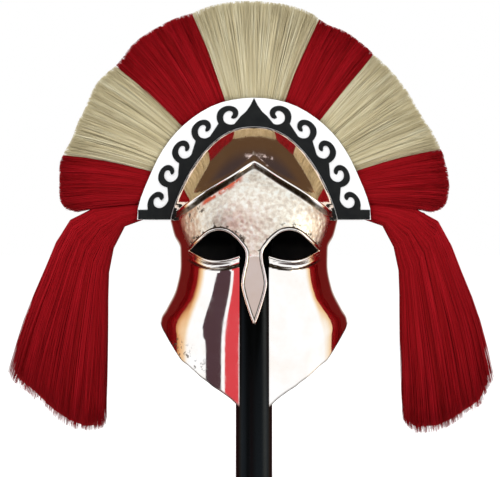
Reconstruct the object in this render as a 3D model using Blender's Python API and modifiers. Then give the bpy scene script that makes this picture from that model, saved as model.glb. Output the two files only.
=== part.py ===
"""Corinthian helmet with a horsehair crest set across it, on a plain post and round foot.

Metres, +Z up. The face looks along -Y and +X is to the right of the picture. The origin is on the
post's axis at the underside of the foot, so the whole object stands on Z = 0.
"""

import math

import bmesh
import bpy
import numpy as np

# Fit
GAP = 0.0003  # clearance between pieces that sit on each other

# Stand
FOOT_RADIUS = 0.130
FOOT_HEIGHT = 0.018
FOOT_EDGE = 0.003
POST_RADIUS = 0.0215
HEAD_RADIUS = 0.040  # rounded head that carries the crown from inside
HEAD_EASE = 0.005  # how much rounder the head is than the crown, so that it meets it at the middle
HEAD_EDGE = 0.006
HEAD_NECK = 0.022

# Helmet shell: heights above the cheek tips
CHEEK_TIP_Z = 0.142
EQUATOR_HEIGHT = 0.210
CROWN_HEIGHT = 0.112  # crown above the equator
HALF_WIDTH = 0.098
FRONT_DEPTH = 0.118
BACK_DEPTH = 0.122
WALL = 0.0016
BROW_STEP = 0.005  # how far the face lies behind the skull under the brow
BROW_FALL = 0.008  # height of the sloping underside of the brow
BROW_ROLL = 0.003

# Face opening
SLOT_HALF = 0.0165
EYE_HALF_SPAN = 0.074
EYE_LINE = 0.176  # outer corner of the eyes, above the cheek tips
EYE_RISE = 0.024
NASAL_HALF = 0.014
NASAL_TIP = 0.0955  # above the cheek tips
RIM_WIDTH = 0.0028
RIM_RISE = 0.0011
RIM_LAP = 0.0003  # how far the rim folds past the edge of the opening

# Crest
CREST_BAND = 0.0335  # how far the boards stand above the crown
SIDE_BAND = 0.0385  # how far they stand out beside the skull
CREST_RADIUS = HALF_WIDTH + SIDE_BAND
CREST_CENTRE = EQUATOR_HEIGHT + CROWN_HEIGHT + CREST_BAND - CREST_RADIUS  # above the cheek tips
END_LIFT = 0.002  # lower ends of the boards, above the equator
CREST_END = EQUATOR_HEIGHT + END_LIFT
CREST_DEPTH = 0.044
BOARD = 0.004
CORE_DROP = 0.012  # the core stays this far inside the boards' edge
ROOT_THICK = 0.008  # backing that the hair is set in
SCROLL_THICK = 0.001
CURL = 0.0116  # radius of one wave's curl
CURL_CENTRES = (0.873, 0.860, 0.849, 0.848, 0.844)  # each wave's, as a share of the crest's radius
CURL_FIRST = math.radians(13.3)
CURL_PITCH = math.radians(17.1)
TOOTH_HALF = 0.0155
TOOTH_FOOT = 0.840  # share of the crest's radius where the middle tooth meets the strip
END_STRIP = 0.0115

# Hair
PLUME_LENGTH = 0.1115  # hair beyond the boards
PLUME_RADIUS = CREST_RADIUS + PLUME_LENGTH
PLUME_HALF_DEPTH = 0.027
TAIL_SPREAD = 0.155
TAIL_DROP = 0.257
TAIL_HALF_DEPTH = 0.027
LOCKS = 5
TAIL_LOCKS = 6

# Mesh
COLUMNS = 42
ARC_STEPS = 34
FOOT_STEPS = 32
POST_STEPS = 20
LOCK_OVERLAP = 0.30  # share of a lock's width that it lies into each neighbour
LOCK_BEVEL = 0.22  # share of a lock's width that slopes off at each edge

# Sections below the equator. height: share of EQUATOR_HEIGHT. width, front, back: shares of
# HALF_WIDTH, FRONT_DEPTH and BACK_DEPTH.
SECTIONS = {
    "height": (0.00, 0.40, 0.46, 0.515, 0.63, 0.76, 0.85, 0.92, 1.00),
    "width": (1.140, 1.125, 1.110, 1.045, 0.930, 0.882, 0.886, 0.955, 1.00),
    "front": (1.080, 1.055, 1.050, 1.040, 1.030, 1.020, 1.010, 1.005, 1.00),
    "back": (1.300, 1.250, 1.200, 1.100, 0.960, 0.900, 0.910, 0.955, 1.00),
}
FRONT_POWER = 2.5  # exponent of the plan's front half: 2 is an ellipse, more is squarer
BACK_POWER = 2.1
CROWN_POWERS_ACROSS = (1.25, 2.15)  # powers of height and width in the crown's outline from the front
CROWN_POWERS_DEEP = (2.0, 2.0)  # the same from the side

# Lower edge and brow, by the angle round the head from the face, in degrees.
# height: share of EQUATOR_HEIGHT above the cheek tips.
HEM = {
    "angle": (0, 5, 16, 29, 45, 59, 71, 85, 100, 130, 180),
    "height": (0.0, 0.0, 0.090, 0.162, 0.238, 0.333, 0.395, 0.433, 0.440, 0.420, 0.400),
}
BROW = {
    "angle": (0, 13, 30, 45, 55, 75, 90, 180),
    "height": (1.314, 1.241, 1.167, 1.107, 1.076, 1.038, 1.019, 1.019),
    "step": (1.0, 1.0, 1.0, 1.0, 0.85, 0.25, 0.0, 0.0),
}
FACE_ROWS = (0.0, 0.05, 0.11, 0.19, 0.29, 0.41, 0.55, 0.70, 0.86, 1.0)
SKULL_ROWS = (0.14, 0.30, 0.46, 0.62, 0.77, 0.90)  # shares of a quarter turn up to the crown

# Edge of the face opening, right half, from the nasal's tip up and round the eye.
# side: share of EYE_HALF_SPAN from the middle. rise: share of EYE_RISE from the eye's outer corner.
EYE_TOP = {
    "side": (0.216, 0.300, 0.405, 0.540, 0.676, 0.811, 0.919, 1.000),
    "rise": (0.400, 0.670, 0.895, 0.980, 0.870, 0.560, 0.270, 0.000),
}
EYE_LOW = {
    "side": (0.865, 0.703, 0.540, 0.378),
    "rise": (-0.210, -0.395, -0.440, -0.375),
}
EYE_INNER_RISE = -0.230  # where the lower lid meets the slot
# half: share of NASAL_HALF. along: share of the way from the nasal's tip to the eyes' corners.
NASAL = {
    "half": (0.10, 0.34, 0.60, 0.84, 1.00, 0.97, 0.83, 0.68, 0.69),
    "along": (0.00, 0.11, 0.25, 0.39, 0.53, 0.62, 0.75, 0.87, 1.00),
}

# One wave of the scroll, about the middle of its curl. turn: degrees from the side away from the
# tooth, over the top. outer, inner: shares of CURL.
CURL_EDGE = {
    "turn": (-16, 33, 71, 113, 155, 193, 231, 277),
    "outer": (1.55, 1.33, 1.06, 0.91, 0.86, 0.73, 0.54, 0.27),
}
CURL_INSIDE = {
    "turn": (-100, -72, -37, 6, 51, 105, 156, 215),
    "inner": (0.97, 0.96, 0.96, 0.77, 0.55, 0.41, 0.27, 0.12),
}

# Outer edge of the boards. angle: degrees above the level of their centre. reach: share of
# CREST_RADIUS.
BOARD_EDGE = {
    "angle": (0, 23, 52, 75, 90),
    "reach": (1.0, 0.946, 0.968, 0.991, 0.991),
}

# Edges between the tufts of the plume, from the left end to the right, in degrees round the
# crest's centre. reach: share of PLUME_RADIUS.
TUFT_EDGES = {
    "root": (174, 157, 129, 104, 75, 55, 23, 6),
    "tip": (179, 163, 133, 107, 71.5, 53, 19, 1),
    "reach": (0.910, 0.950, 0.970, 1.000, 0.985, 0.950, 0.930, 0.910),
}
TUFT_COLOURS = ("red", "cream", "red", "cream", "red", "cream", "red")
TUFT_ROWS = {
    "share": (0.0, 0.08, 0.5, 1.0),
    "depth": (0.0, 0.0, 0.85, 0.80),
    "narrow": (0.0, 0.0, 0.0, 0.08),
}
LOCK_LENGTHS = (0.985, 1.0, 0.975, 1.01, 0.98, 0.995)
LOCK_DEPTHS = (0.93, 1.0, 0.90, 0.98, 0.92, 1.02)

# Tails: outer and inner edge of the hanging hair. out: share of TAIL_SPREAD from the rim,
# down: share of TAIL_DROP below the crest's centre.
TAIL_EDGES = {
    "outer_out": (0.22, 0.425, 0.565, 0.675, 0.845, 0.985),
    "outer_down": (-0.035, -0.008, 0.074, 0.222, 0.471, 0.743),
    "inner_out": (0.07, 0.142, 0.200, 0.232, 0.240, 0.255),
    "inner_down": (0.035, 0.089, 0.167, 0.276, 0.568, 0.985),
    "depth": (0.15, 0.60, 0.85, 1.00, 1.00, 0.85),
    "narrow": (0.0, 0.0, 0.0, 0.0, 0.04, 0.16),
}
TAIL_FROM = 174.4  # degrees round the crest's centre, where the tail is rooted
TAIL_TO = 182.4
TAIL_ENDS = (0.96, 0.985, 0.97, 1.0, 0.975, 0.99)

COLOURS = {
    "bronze": ((0.78, 0.52, 0.36), 0.12, 1.0),
    "crest_wood": ((0.05, 0.05, 0.045), 0.6, 0.0),
    "board_white": ((0.86, 0.85, 0.83), 0.5, 0.0),
    "scroll_black": ((0.02, 0.02, 0.018), 0.5, 0.0),
    "hair_red": ((0.29, 0.01, 0.012), 0.6, 0.0),
    "hair_cream": ((0.50, 0.43, 0.27), 0.6, 0.0),
    "stand_black": ((0.01, 0.011, 0.012), 0.3, 0.0),
}


def clear_scene():
    for obj in list(bpy.data.objects):
        bpy.data.objects.remove(obj, do_unlink=True)


def new_collection(name):
    made = bpy.data.collections.new(name)
    bpy.context.scene.collection.children.link(made)
    return made


def material(name):
    """A Principled material with the slot's colour, roughness and metallic value."""
    made = bpy.data.materials.get(name)
    if made is None:
        colour, roughness, metallic = COLOURS[name]
        made = bpy.data.materials.new(name)
        made.use_nodes = True
        shader = made.node_tree.nodes["Principled BSDF"]
        shader.inputs["Base Color"].default_value = (*colour, 1.0)
        shader.inputs["Roughness"].default_value = roughness
        shader.inputs["Metallic"].default_value = metallic
    return made


def add_object(name, mesh, slot=None):
    """A part with a material, or a cutter where no slot is given."""
    obj = bpy.data.objects.new(name, mesh)
    if slot is None:
        CUTTERS.objects.link(obj)
        obj.hide_render = True
        obj.display_type = "WIRE"
    else:
        PARTS.objects.link(obj)
        mesh.materials.append(material(slot))
    return obj


def wall_of(obj, thickness, offset):
    """A wall on a skin, in flat triangles, which a Boolean cuts cleanly."""
    wall = obj.modifiers.new("wall", "SOLIDIFY")
    wall.thickness = thickness
    wall.offset = offset
    obj.modifiers.new("flat_faces", "TRIANGULATE")


def boolean(obj, other, operation, own=False):
    step = obj.modifiers.new(operation.lower() + "_" + other.name, "BOOLEAN")
    step.operation = operation
    step.solver = "EXACT"
    step.object = other
    step.use_self = own


def curve_through(at, places, values):
    """A monotone cubic through a table's values: no overshoot between its rows."""
    x = np.asarray(places, float)
    y = np.asarray(values, float)
    rise = np.diff(y) / np.diff(x)
    product = rise[:-1] * rise[1:]
    total = np.where(product > 0, rise[:-1] + rise[1:], 1.0)
    middle = np.where(product > 0, 2 * product / total, 0.0)
    slope = np.concatenate([rise[:1], middle, rise[-1:]])
    at = np.clip(np.asarray(at, float), x[0], x[-1])
    i = np.clip(np.searchsorted(x, at) - 1, 0, len(x) - 2)
    width = x[i + 1] - x[i]
    t = (at - x[i]) / width
    start = (1 + 2 * t) * (1 - t) ** 2 * y[i] + t * (1 - t) ** 2 * width * slope[i]
    end = t * t * (3 - 2 * t) * y[i + 1] + t * t * (t - 1) * width * slope[i + 1]
    return start + end


def crown_share(height, powers):
    rise, spread = powers
    s = np.clip((height - EQUATOR_HEIGHT) / CROWN_HEIGHT, 0, 1)
    return np.clip(1 - s**rise, 0, 1) ** (1 / spread)


def shell_point(turn, height, inset):
    """The skull and face at an angle from the face (radians) and a height above the cheek tips."""
    share = height / EQUATOR_HEIGHT
    low = {key: curve_through(share, SECTIONS["height"], SECTIONS[key]) for key in SECTIONS}
    half = HALF_WIDTH * low["width"] * crown_share(height, CROWN_POWERS_ACROSS)
    front = FRONT_DEPTH * low["front"] * crown_share(height, CROWN_POWERS_DEEP)
    back = BACK_DEPTH * low["back"] * crown_share(height, CROWN_POWERS_DEEP)
    side, ahead = np.sin(turn), np.cos(turn)
    square = np.where(ahead >= 0, FRONT_POWER, BACK_POWER)
    depth = np.where(ahead >= 0, front, back)
    x = half * np.sign(side) * np.abs(side) ** (2 / square) - inset * side
    y = -depth * np.sign(ahead) * np.abs(ahead) ** (2 / square) + inset * ahead
    return np.stack([x, y, CHEEK_TIP_Z + height + 0 * x], axis=-1)


def around(table, key, degrees):
    return curve_through(degrees, table["angle"], table[key])


def shell_rows(first_face_row=0):
    """Rings of points from the lower edge, over the brow, to just under the crown."""
    turn = np.linspace(0, 2 * math.pi, COLUMNS, endpoint=False)
    degrees = np.degrees(np.minimum(turn, 2 * math.pi - turn))
    hem = EQUATOR_HEIGHT * around(HEM, "height", degrees)
    brow = EQUATOR_HEIGHT * around(BROW, "height", degrees)
    step = BROW_STEP * around(BROW, "step", degrees)
    under = brow - BROW_FALL
    crown = EQUATOR_HEIGHT + CROWN_HEIGHT
    rows = [shell_point(turn, hem + share * (under - hem), step) for share in FACE_ROWS[first_face_row:]]
    rows.append(shell_point(turn, brow, 0))
    lip = brow + BROW_ROLL
    for share in SKULL_ROWS:
        rows.append(shell_point(turn, lip + (crown - lip) * math.sin(share * math.pi / 2), 0))
    return rows


def ring_mesh(name, rows, top=None, bottom=None):
    """Rings joined into a skin, closed at an end where a pole is given."""
    bm = bmesh.new()
    rings = [[bm.verts.new(point) for point in row] for row in rows]
    count = len(rings[0])
    for low, high in zip(rings[:-1], rings[1:]):
        for i in range(count):
            j = (i + 1) % count
            bm.faces.new((low[i], low[j], high[j], high[i]))
    for pole, ring, facing in ((top, rings[-1], 1), (bottom, rings[0], -1)):
        if pole is None:
            continue
        middle = bm.verts.new(pole)
        for i in range(count):
            j = (i + 1) % count
            bm.faces.new((ring[i], ring[j], middle) if facing > 0 else (ring[j], ring[i], middle))
    mesh = bpy.data.meshes.new(name)
    bm.to_mesh(mesh)
    bm.free()
    return mesh


def flat_outline(name, points, thickness, y):
    """A closed outline in X and Z, filled and given a thickness centred on y, as a mesh."""
    curve = bpy.data.curves.new(name, "CURVE")
    curve.dimensions = "2D"
    curve.fill_mode = "BOTH"
    curve.extrude = thickness / 2
    spline = curve.splines.new("POLY")
    spline.points.add(len(points) - 1)
    for target, (x, z) in zip(spline.points, points):
        target.co = (x, z, 0, 1)
    spline.use_cyclic_u = True
    standing = bpy.data.objects.new(name + "_curve", curve)
    standing.rotation_euler = (math.pi / 2, 0, 0)
    standing.location = (0, y, 0)
    CUTTERS.objects.link(standing)
    bpy.context.view_layer.update()
    mesh = bpy.data.meshes.new_from_object(standing.evaluated_get(bpy.context.evaluated_depsgraph_get()))
    mesh.transform(standing.matrix_world)
    bpy.data.objects.remove(standing, do_unlink=True)
    bpy.data.curves.remove(curve)
    bm = bmesh.new()
    bm.from_mesh(mesh)
    bmesh.ops.remove_doubles(bm, verts=bm.verts, dist=1e-6)
    bmesh.ops.recalc_face_normals(bm, faces=bm.faces)
    bm.to_mesh(mesh)
    bm.free()
    mesh.name = name
    return mesh


def mirrored(points):
    """The left half of an outline from its right half, in the order that closes it."""
    return [(-x, z) for x, z in reversed(points)]


def eye_point(side, rise):
    return side * EYE_HALF_SPAN, CHEEK_TIP_Z + EYE_LINE + rise * EYE_RISE


def nasal_side():
    """The nasal's right edge, from its tip up to the eye."""
    length = EYE_LINE - NASAL_TIP
    return [(half * NASAL_HALF, CHEEK_TIP_Z + NASAL_TIP + along * length)
            for half, along in zip(NASAL["half"], NASAL["along"])]


def eye_top():
    return [eye_point(side, rise) for side, rise in zip(EYE_TOP["side"], EYE_TOP["rise"])]


def eye_low():
    """The lower lid, from the outer corner in to the slot."""
    low = [eye_point(side, rise) for side, rise in zip(EYE_LOW["side"], EYE_LOW["rise"])]
    return low + [(SLOT_HALF, eye_point(0, EYE_INNER_RISE)[1])]


def face_opening():
    """Eyes and slot in one outline, round the nasal."""
    below = CHEEK_TIP_Z - EQUATOR_HEIGHT * 0.2
    right = nasal_side() + eye_top() + eye_low() + [(SLOT_HALF, below)]
    return right + mirrored(right)


def ribbon(path, width):
    """A strip to the left of a path, as an outline. It starts a little to the path's right, and its
    far side leaves out the points that a sharp turn would bring nearer than the width."""
    line = np.array(path)
    along = np.gradient(line, axis=0)
    left = np.stack([-along[:, 1], along[:, 0]], axis=1)
    left /= np.linalg.norm(left, axis=1)[:, None]
    far = line + width * left
    nearest = np.linalg.norm(far[:, None] - line[None], axis=2).min(axis=1)
    return list(line - RIM_LAP * left) + list(far[nearest > 0.95 * width][::-1])


def rim_path():
    """From the left cheek's corner round the left eye, down and up the nasal and round the right
    eye, with the metal on the left."""
    end = (SLOT_HALF - RIM_LAP, eye_low()[-1][1])
    left = [end] + eye_low()[:-1][::-1] + eye_top()[::-1] + nasal_side()[::-1]
    return [(-x, z) for x, z in left] + left[::-1]


def make_shell():
    rows = shell_rows()
    crown = (0, 0, CHEEK_TIP_Z + EQUATOR_HEIGHT + CROWN_HEIGHT)
    shell = add_object("helmet_shell", ring_mesh("helmet_shell", rows, top=crown), "bronze")
    wall_of(shell, WALL, -1)
    reach = 2 * FRONT_DEPTH
    cut = add_object("face_opening", flat_outline("face_opening", face_opening(), reach, -reach / 2))
    boolean(shell, cut, "DIFFERENCE")

    plate = add_object("rim_plate", ring_mesh("rim_plate", rows, top=crown))
    wall_of(plate, RIM_RISE + WALL / 2, (RIM_RISE - WALL / 2) / (RIM_RISE + WALL / 2))
    rim = add_object("rim", flat_outline("rim", ribbon(rim_path(), RIM_WIDTH), reach, -reach / 2))
    boolean(rim, plate, "INTERSECT")
    boolean(shell, rim, "UNION")


def make_skull_clearance():
    """The skull, a gap larger, that shapes the underside of all that stands on it."""
    rows = shell_rows(first_face_row=5)
    crown = (0, 0, CHEEK_TIP_Z + EQUATOR_HEIGHT + CROWN_HEIGHT)
    middle = (0, 0, float(rows[0][:, 2].mean()))
    mesh = ring_mesh("skull_clearance", rows, top=crown, bottom=middle)
    bm = bmesh.new()
    bm.from_mesh(mesh)
    bmesh.ops.triangulate(bm, faces=bm.faces)
    bm.normal_update()
    moved = [vert.co + vert.normal * GAP * 1.1 for vert in bm.verts]
    for vert, place in zip(bm.verts, moved):
        vert.co = place
    bm.to_mesh(mesh)
    bm.free()
    return add_object("skull_clearance", mesh)


def crest_point(radius, degrees):
    """A place on the crest. Its arc is a little flat at the shoulders, and rounder further out."""
    angle = math.radians(degrees)
    flat = 1 - float(around(BOARD_EDGE, "reach", min(degrees, 180 - degrees)))
    fade = min(1.0, (PLUME_RADIUS - radius) / (PLUME_RADIUS - CREST_RADIUS))
    reach = radius * (1 - flat * fade)
    return reach * math.cos(angle), CHEEK_TIP_Z + CREST_CENTRE + reach * math.sin(angle)


def arch(radius, end_height):
    """A disc cut off level at its lower ends."""
    fall = math.degrees(math.asin((end_height - CREST_CENTRE) / radius))
    return [crest_point(radius, fall + (180 - 2 * fall) * i / ARC_STEPS) for i in range(ARC_STEPS + 1)]


def scroll_outline():
    """The wave scroll, right half then left: middle tooth, waves, end strip."""
    apex = crest_point(CREST_RADIUS - GAP, 90)[1]
    foot = crest_point(CREST_RADIUS * TOOTH_FOOT, 90)[1]
    right = [(0, apex), (TOOTH_HALF * 0.55, apex + 0.7 * (foot - apex)), (TOOTH_HALF, foot)]
    inside = list(zip(CURL_INSIDE["turn"], CURL_INSIDE["inner"]))
    outside = list(zip(CURL_EDGE["turn"], CURL_EDGE["outer"]))[::-1]
    for number, share in enumerate(CURL_CENTRES):
        radius = share * CREST_RADIUS
        middle = CURL_FIRST + CURL_PITCH * number
        for turn, reach in inside + outside:
            along = reach * CURL * math.cos(math.radians(turn))
            out = reach * CURL * math.sin(math.radians(turn))
            right.append(crest_point(radius + out, 90 - math.degrees(middle + along / radius)))
    strip = CHEEK_TIP_Z + CREST_END + END_STRIP
    end = CHEEK_TIP_Z + CREST_END + GAP
    edge = CREST_RADIUS - 2 * GAP
    rise = strip - CHEEK_TIP_Z - CREST_CENTRE
    right = [point for point in right if point[1] > strip]
    right += [(right[-1][0], strip), crest_point(edge, math.degrees(math.asin(rise / edge)))]
    right.append((right[-1][0], end))
    return right + mirrored(right[1:])


def make_crest(skull):
    core_radius = CREST_RADIUS - CORE_DROP
    core_depth = CREST_DEPTH - 2 * BOARD - 2 * GAP
    shape = flat_outline("crest_core", arch(core_radius, CREST_END), core_depth, 0)
    boolean(add_object("crest_core", shape, "crest_wood"), skull, "DIFFERENCE")
    for side, name in ((-1, "front"), (1, "back")):
        y = side * (CREST_DEPTH - BOARD) / 2
        shape = flat_outline(f"crest_{name}_board", arch(CREST_RADIUS, CREST_END), BOARD, y)
        boolean(add_object(f"crest_{name}_board", shape, "board_white"), skull, "DIFFERENCE")
        y = side * (CREST_DEPTH / 2 + GAP + SCROLL_THICK / 2)
        shape = flat_outline(f"scroll_{name}", scroll_outline(), SCROLL_THICK, y)
        boolean(add_object(f"scroll_{name}", shape, "scroll_black"), skull, "DIFFERENCE")


def root_block(name, from_degrees, to_degrees, slot):
    """The curved backing between the boards that a tuft is set in."""
    inner = CREST_RADIUS - CORE_DROP + GAP
    outer = inner + ROOT_THICK
    steps = [from_degrees + (to_degrees - from_degrees) * i / 4 for i in range(5)]
    outline = [crest_point(inner, a) for a in steps] + [crest_point(outer, a) for a in reversed(steps)]
    depth = CREST_DEPTH - 2 * BOARD - 2 * GAP
    return add_object(name, flat_outline(name, outline, depth, 0), slot)


def add_lock(bm, edges, depths):
    """One lock: six-sided sections, each across the line between its two edge points."""
    rings = []
    for (left, right), depth in zip(edges, depths):
        left, right = np.array(left), np.array(right)
        inner_left = left + LOCK_BEVEL * (right - left)
        inner_right = right - LOCK_BEVEL * (right - left)
        ring = [(left, 0), (inner_left, -depth), (inner_right, -depth),
                (right, 0), (inner_right, depth), (inner_left, depth)]
        rings.append([bm.verts.new((place[0], y, place[1])) for place, y in ring])
    for low, high in zip(rings[:-1], rings[1:]):
        for i in range(6):
            j = (i + 1) % 6
            bm.faces.new((low[i], low[j], high[j], high[i]))
    bm.faces.new(rings[0])
    bm.faces.new(rings[-1][::-1])


def lock_span(number, count):
    """A lock's share of its bundle's width, overlapping its neighbours but not the ends."""
    lo = max(0.0, (number - LOCK_OVERLAP) / count)
    return lo, min(1.0, (number + 1 + LOCK_OVERLAP) / count)


def between(a, b, share):
    return a + (b - a) * share


def hair_object(name, bm):
    bmesh.ops.recalc_face_normals(bm, faces=bm.faces)
    mesh = bpy.data.meshes.new(name)
    bm.to_mesh(mesh)
    bm.free()
    return add_object(name, mesh)


def make_tuft(number):
    """One coloured tuft of the plume: its locks fused to the backing that they are set in."""
    colour = TUFT_COLOURS[number]
    name = f"plume_{number + 1}_{colour}"
    slack = math.degrees(GAP / CREST_RADIUS)
    ends = {key: TUFT_EDGES[key][number:number + 2] for key in TUFT_EDGES}
    block = root_block(name, ends["root"][0] - slack, ends["root"][1] + slack, f"hair_{colour}")
    start = CREST_RADIUS - CORE_DROP + ROOT_THICK / 2
    inside = CREST_DEPTH / 2 - BOARD - 2 * GAP
    bm = bmesh.new()
    for lock in range(LOCKS):
        lo, hi = lock_span(lock, LOCKS)
        middle = (lock + 0.5) / LOCKS
        reach = PLUME_RADIUS * between(*ends["reach"], middle) * LOCK_LENGTHS[lock % len(LOCK_LENGTHS)]
        edges, depths = [], []
        for share, depth, narrow in zip(*TUFT_ROWS.values()):
            radius = between(start, reach, share)
            first = between(ends["root"][0], ends["tip"][0], share) - slack
            last = between(ends["root"][1], ends["tip"][1], share) + slack
            trim = narrow * (hi - lo)
            edges.append([crest_point(radius, between(first, last, lo + trim)),
                          crest_point(radius, between(first, last, hi - trim))])
            wide = LOCK_DEPTHS[(lock + number) % len(LOCK_DEPTHS)]
            depths.append(between(inside * wide * 0.96, PLUME_HALF_DEPTH * wide, depth))
        add_lock(bm, edges, depths)
    boolean(block, hair_object(name + "_locks", bm), "UNION", own=True)


def make_tail(side, name):
    """The hair that hangs from one end of the crest."""
    block = root_block(name, TAIL_FROM, TAIL_TO, "hair_red")
    start = CREST_RADIUS - CORE_DROP + ROOT_THICK / 2
    inside = CREST_DEPTH / 2 - BOARD - 2 * GAP
    centre = CHEEK_TIP_Z + CREST_CENTRE
    outer = [crest_point(start, TAIL_FROM + 0.3)]
    inner = [crest_point(start, TAIL_TO - 0.3)]
    for row in range(len(TAIL_EDGES["depth"])):
        for line, key in ((outer, "outer"), (inner, "inner")):
            out = TAIL_EDGES[key + "_out"][row] * TAIL_SPREAD
            line.append((-CREST_RADIUS - out, centre - TAIL_EDGES[key + "_down"][row] * TAIL_DROP))
    reach = (0.0,) + TAIL_EDGES["depth"]
    narrow = (0.0,) + TAIL_EDGES["narrow"]
    bm = bmesh.new()
    for lock in range(TAIL_LOCKS):
        lo, hi = lock_span(lock, TAIL_LOCKS)
        wide = LOCK_DEPTHS[(lock + 1) % len(LOCK_DEPTHS)]
        cut = TAIL_ENDS[lock % len(TAIL_ENDS)]
        edges, depths = [], []
        for row in range(len(outer)):
            a, b = np.array(outer[row]), np.array(inner[row])
            if row == len(outer) - 1:
                a = between(np.array(outer[row - 1]), a, cut)
                b = between(np.array(inner[row - 1]), b, cut)
            trim = narrow[row] * (hi - lo)
            edges.append([between(a, b, lo + trim), between(a, b, hi - trim)])
            depths.append(between(inside * wide * 0.96, TAIL_HALF_DEPTH * wide, reach[row]))
        add_lock(bm, edges, depths)
    locks = hair_object(name + "_locks", bm)
    boolean(block, locks, "UNION", own=True)
    if side > 0:
        for mesh in (block.data, locks.data):
            turned = bmesh.new()
            turned.from_mesh(mesh)
            for vert in turned.verts:
                vert.co.x = -vert.co.x
            bmesh.ops.reverse_faces(turned, faces=turned.faces)
            turned.to_mesh(mesh)
            turned.free()


def turned(name, profile, steps, slot):
    """A profile of radius and height, from the top down, screwed round Z."""
    mesh = bpy.data.meshes.new(name)
    mesh.from_pydata([(r, 0, z) for r, z in profile], [(i, i + 1) for i in range(len(profile) - 1)], [])
    obj = add_object(name, mesh, slot)
    screw = obj.modifiers.new("turn", "SCREW")
    screw.steps = steps
    screw.render_steps = steps
    screw.use_merge_vertices = True
    screw.merge_threshold = 0.00001
    mesh.shade_smooth()
    mesh.set_sharp_from_angle(angle=math.radians(35))
    return obj


def make_stand():
    foot = [(0, FOOT_HEIGHT), (FOOT_RADIUS - FOOT_EDGE, FOOT_HEIGHT), (FOOT_RADIUS, FOOT_HEIGHT - FOOT_EDGE),
            (FOOT_RADIUS, 0), (0, 0)]
    turned("stand_foot", foot, FOOT_STEPS, "stand_black")
    equator = CHEEK_TIP_Z + EQUATOR_HEIGHT - WALL - 2 * GAP
    rise, spread = CROWN_POWERS_ACROSS
    head = []
    for share in (0.0, 0.25, 0.5, 0.75, 1.0):
        radius = share * HEAD_RADIUS
        crown = CROWN_HEIGHT * (1 - (radius / HALF_WIDTH) ** spread) ** (1 / rise)
        head.append((radius, equator + crown - HEAD_EASE * share**2))
    edge = head[-1][1] - HEAD_EDGE
    head += [(HEAD_RADIUS, edge), (POST_RADIUS, edge - HEAD_NECK)]
    turned("stand_post", head + [(POST_RADIUS, FOOT_HEIGHT + GAP), (0, FOOT_HEIGHT + GAP)], POST_STEPS, "stand_black")


clear_scene()
PARTS = new_collection("corinthian_helmet_on_stand")
CUTTERS = new_collection("cutters")
make_shell()
make_crest(make_skull_clearance())
for tuft in range(len(TUFT_COLOURS)):
    make_tuft(tuft)
make_tail(-1, "tail_left")
make_tail(1, "tail_right")
make_stand()
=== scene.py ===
# %% [markdown]
# A Corinthian helmet with a crest of horsehair, on a plain post.
# The solids come in as a fixed frame. Around them this lesson builds the finished look: one raised
# and polished sheet of metal, a painted crest, seven tufts and two tails of hair, and black lacquer.
# Sizes are in metres. The face looks along -Y, +Z is up, and the origin is under the round foot.

# %% Bring in the solids
import math

import bpy
import numpy as np
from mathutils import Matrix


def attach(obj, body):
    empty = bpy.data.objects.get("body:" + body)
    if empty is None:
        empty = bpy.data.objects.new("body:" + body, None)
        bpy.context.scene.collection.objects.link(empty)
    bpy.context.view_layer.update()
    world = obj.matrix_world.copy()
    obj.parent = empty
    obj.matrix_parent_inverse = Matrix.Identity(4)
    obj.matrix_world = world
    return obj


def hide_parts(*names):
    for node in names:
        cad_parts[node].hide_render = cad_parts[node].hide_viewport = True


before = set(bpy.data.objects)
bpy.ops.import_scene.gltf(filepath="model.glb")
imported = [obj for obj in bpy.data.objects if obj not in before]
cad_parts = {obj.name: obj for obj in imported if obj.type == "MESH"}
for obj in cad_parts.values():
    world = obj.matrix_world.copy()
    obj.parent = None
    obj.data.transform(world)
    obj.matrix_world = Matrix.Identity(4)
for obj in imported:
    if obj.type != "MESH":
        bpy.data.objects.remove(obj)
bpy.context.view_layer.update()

# %% [markdown]
# The camera comes first, because every later look is judged through it. The picture was taken at
# about the height of the eyes and from about two metres, so a long lens keeps the sides straight.

# %% The camera
CAMERA_AWAY = 2.0
CAMERA_HEIGHT = 0.332
CAMERA_SIDE = -0.0047
PICTURE_WIDTH = 0.590  # what the picture's width covers at the plane of the crest


def placed(name, data):
    """A new object in the scene's own collection."""
    made = bpy.data.objects.new(name, data)
    bpy.context.scene.collection.objects.link(made)
    return made


lens = bpy.data.cameras.new("studio_camera")
lens.sensor_width = 36.0
lens.lens = lens.sensor_width * CAMERA_AWAY / PICTURE_WIDTH
camera = placed("studio_camera", lens)
camera.location = (CAMERA_SIDE, -CAMERA_AWAY, CAMERA_HEIGHT)
camera.rotation_euler = (math.pi / 2, 0, 0)
bpy.context.scene.camera = camera
print("lens in millimetres:", round(lens.lens, 1))

# %% [markdown]
# Every surface here is worked out as arrays of points. These helpers turn arrays into meshes: a
# grid of points becomes quads, and one call fills the whole mesh, with no loop over its points.

# %% Arrays into meshes
def grid_faces(rows, columns, around=False):
    """Corners of every quad of a grid: each point with its neighbour along and the row above."""
    row = np.arange(rows - 1)[:, None]
    here = np.arange(columns if around else columns - 1)[None, :]
    there = (here + 1) % columns
    low, high = row * columns, (row + 1) * columns
    return np.stack([low + here, low + there, high + there, high + here], axis=-1).reshape(-1, 4)


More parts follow.
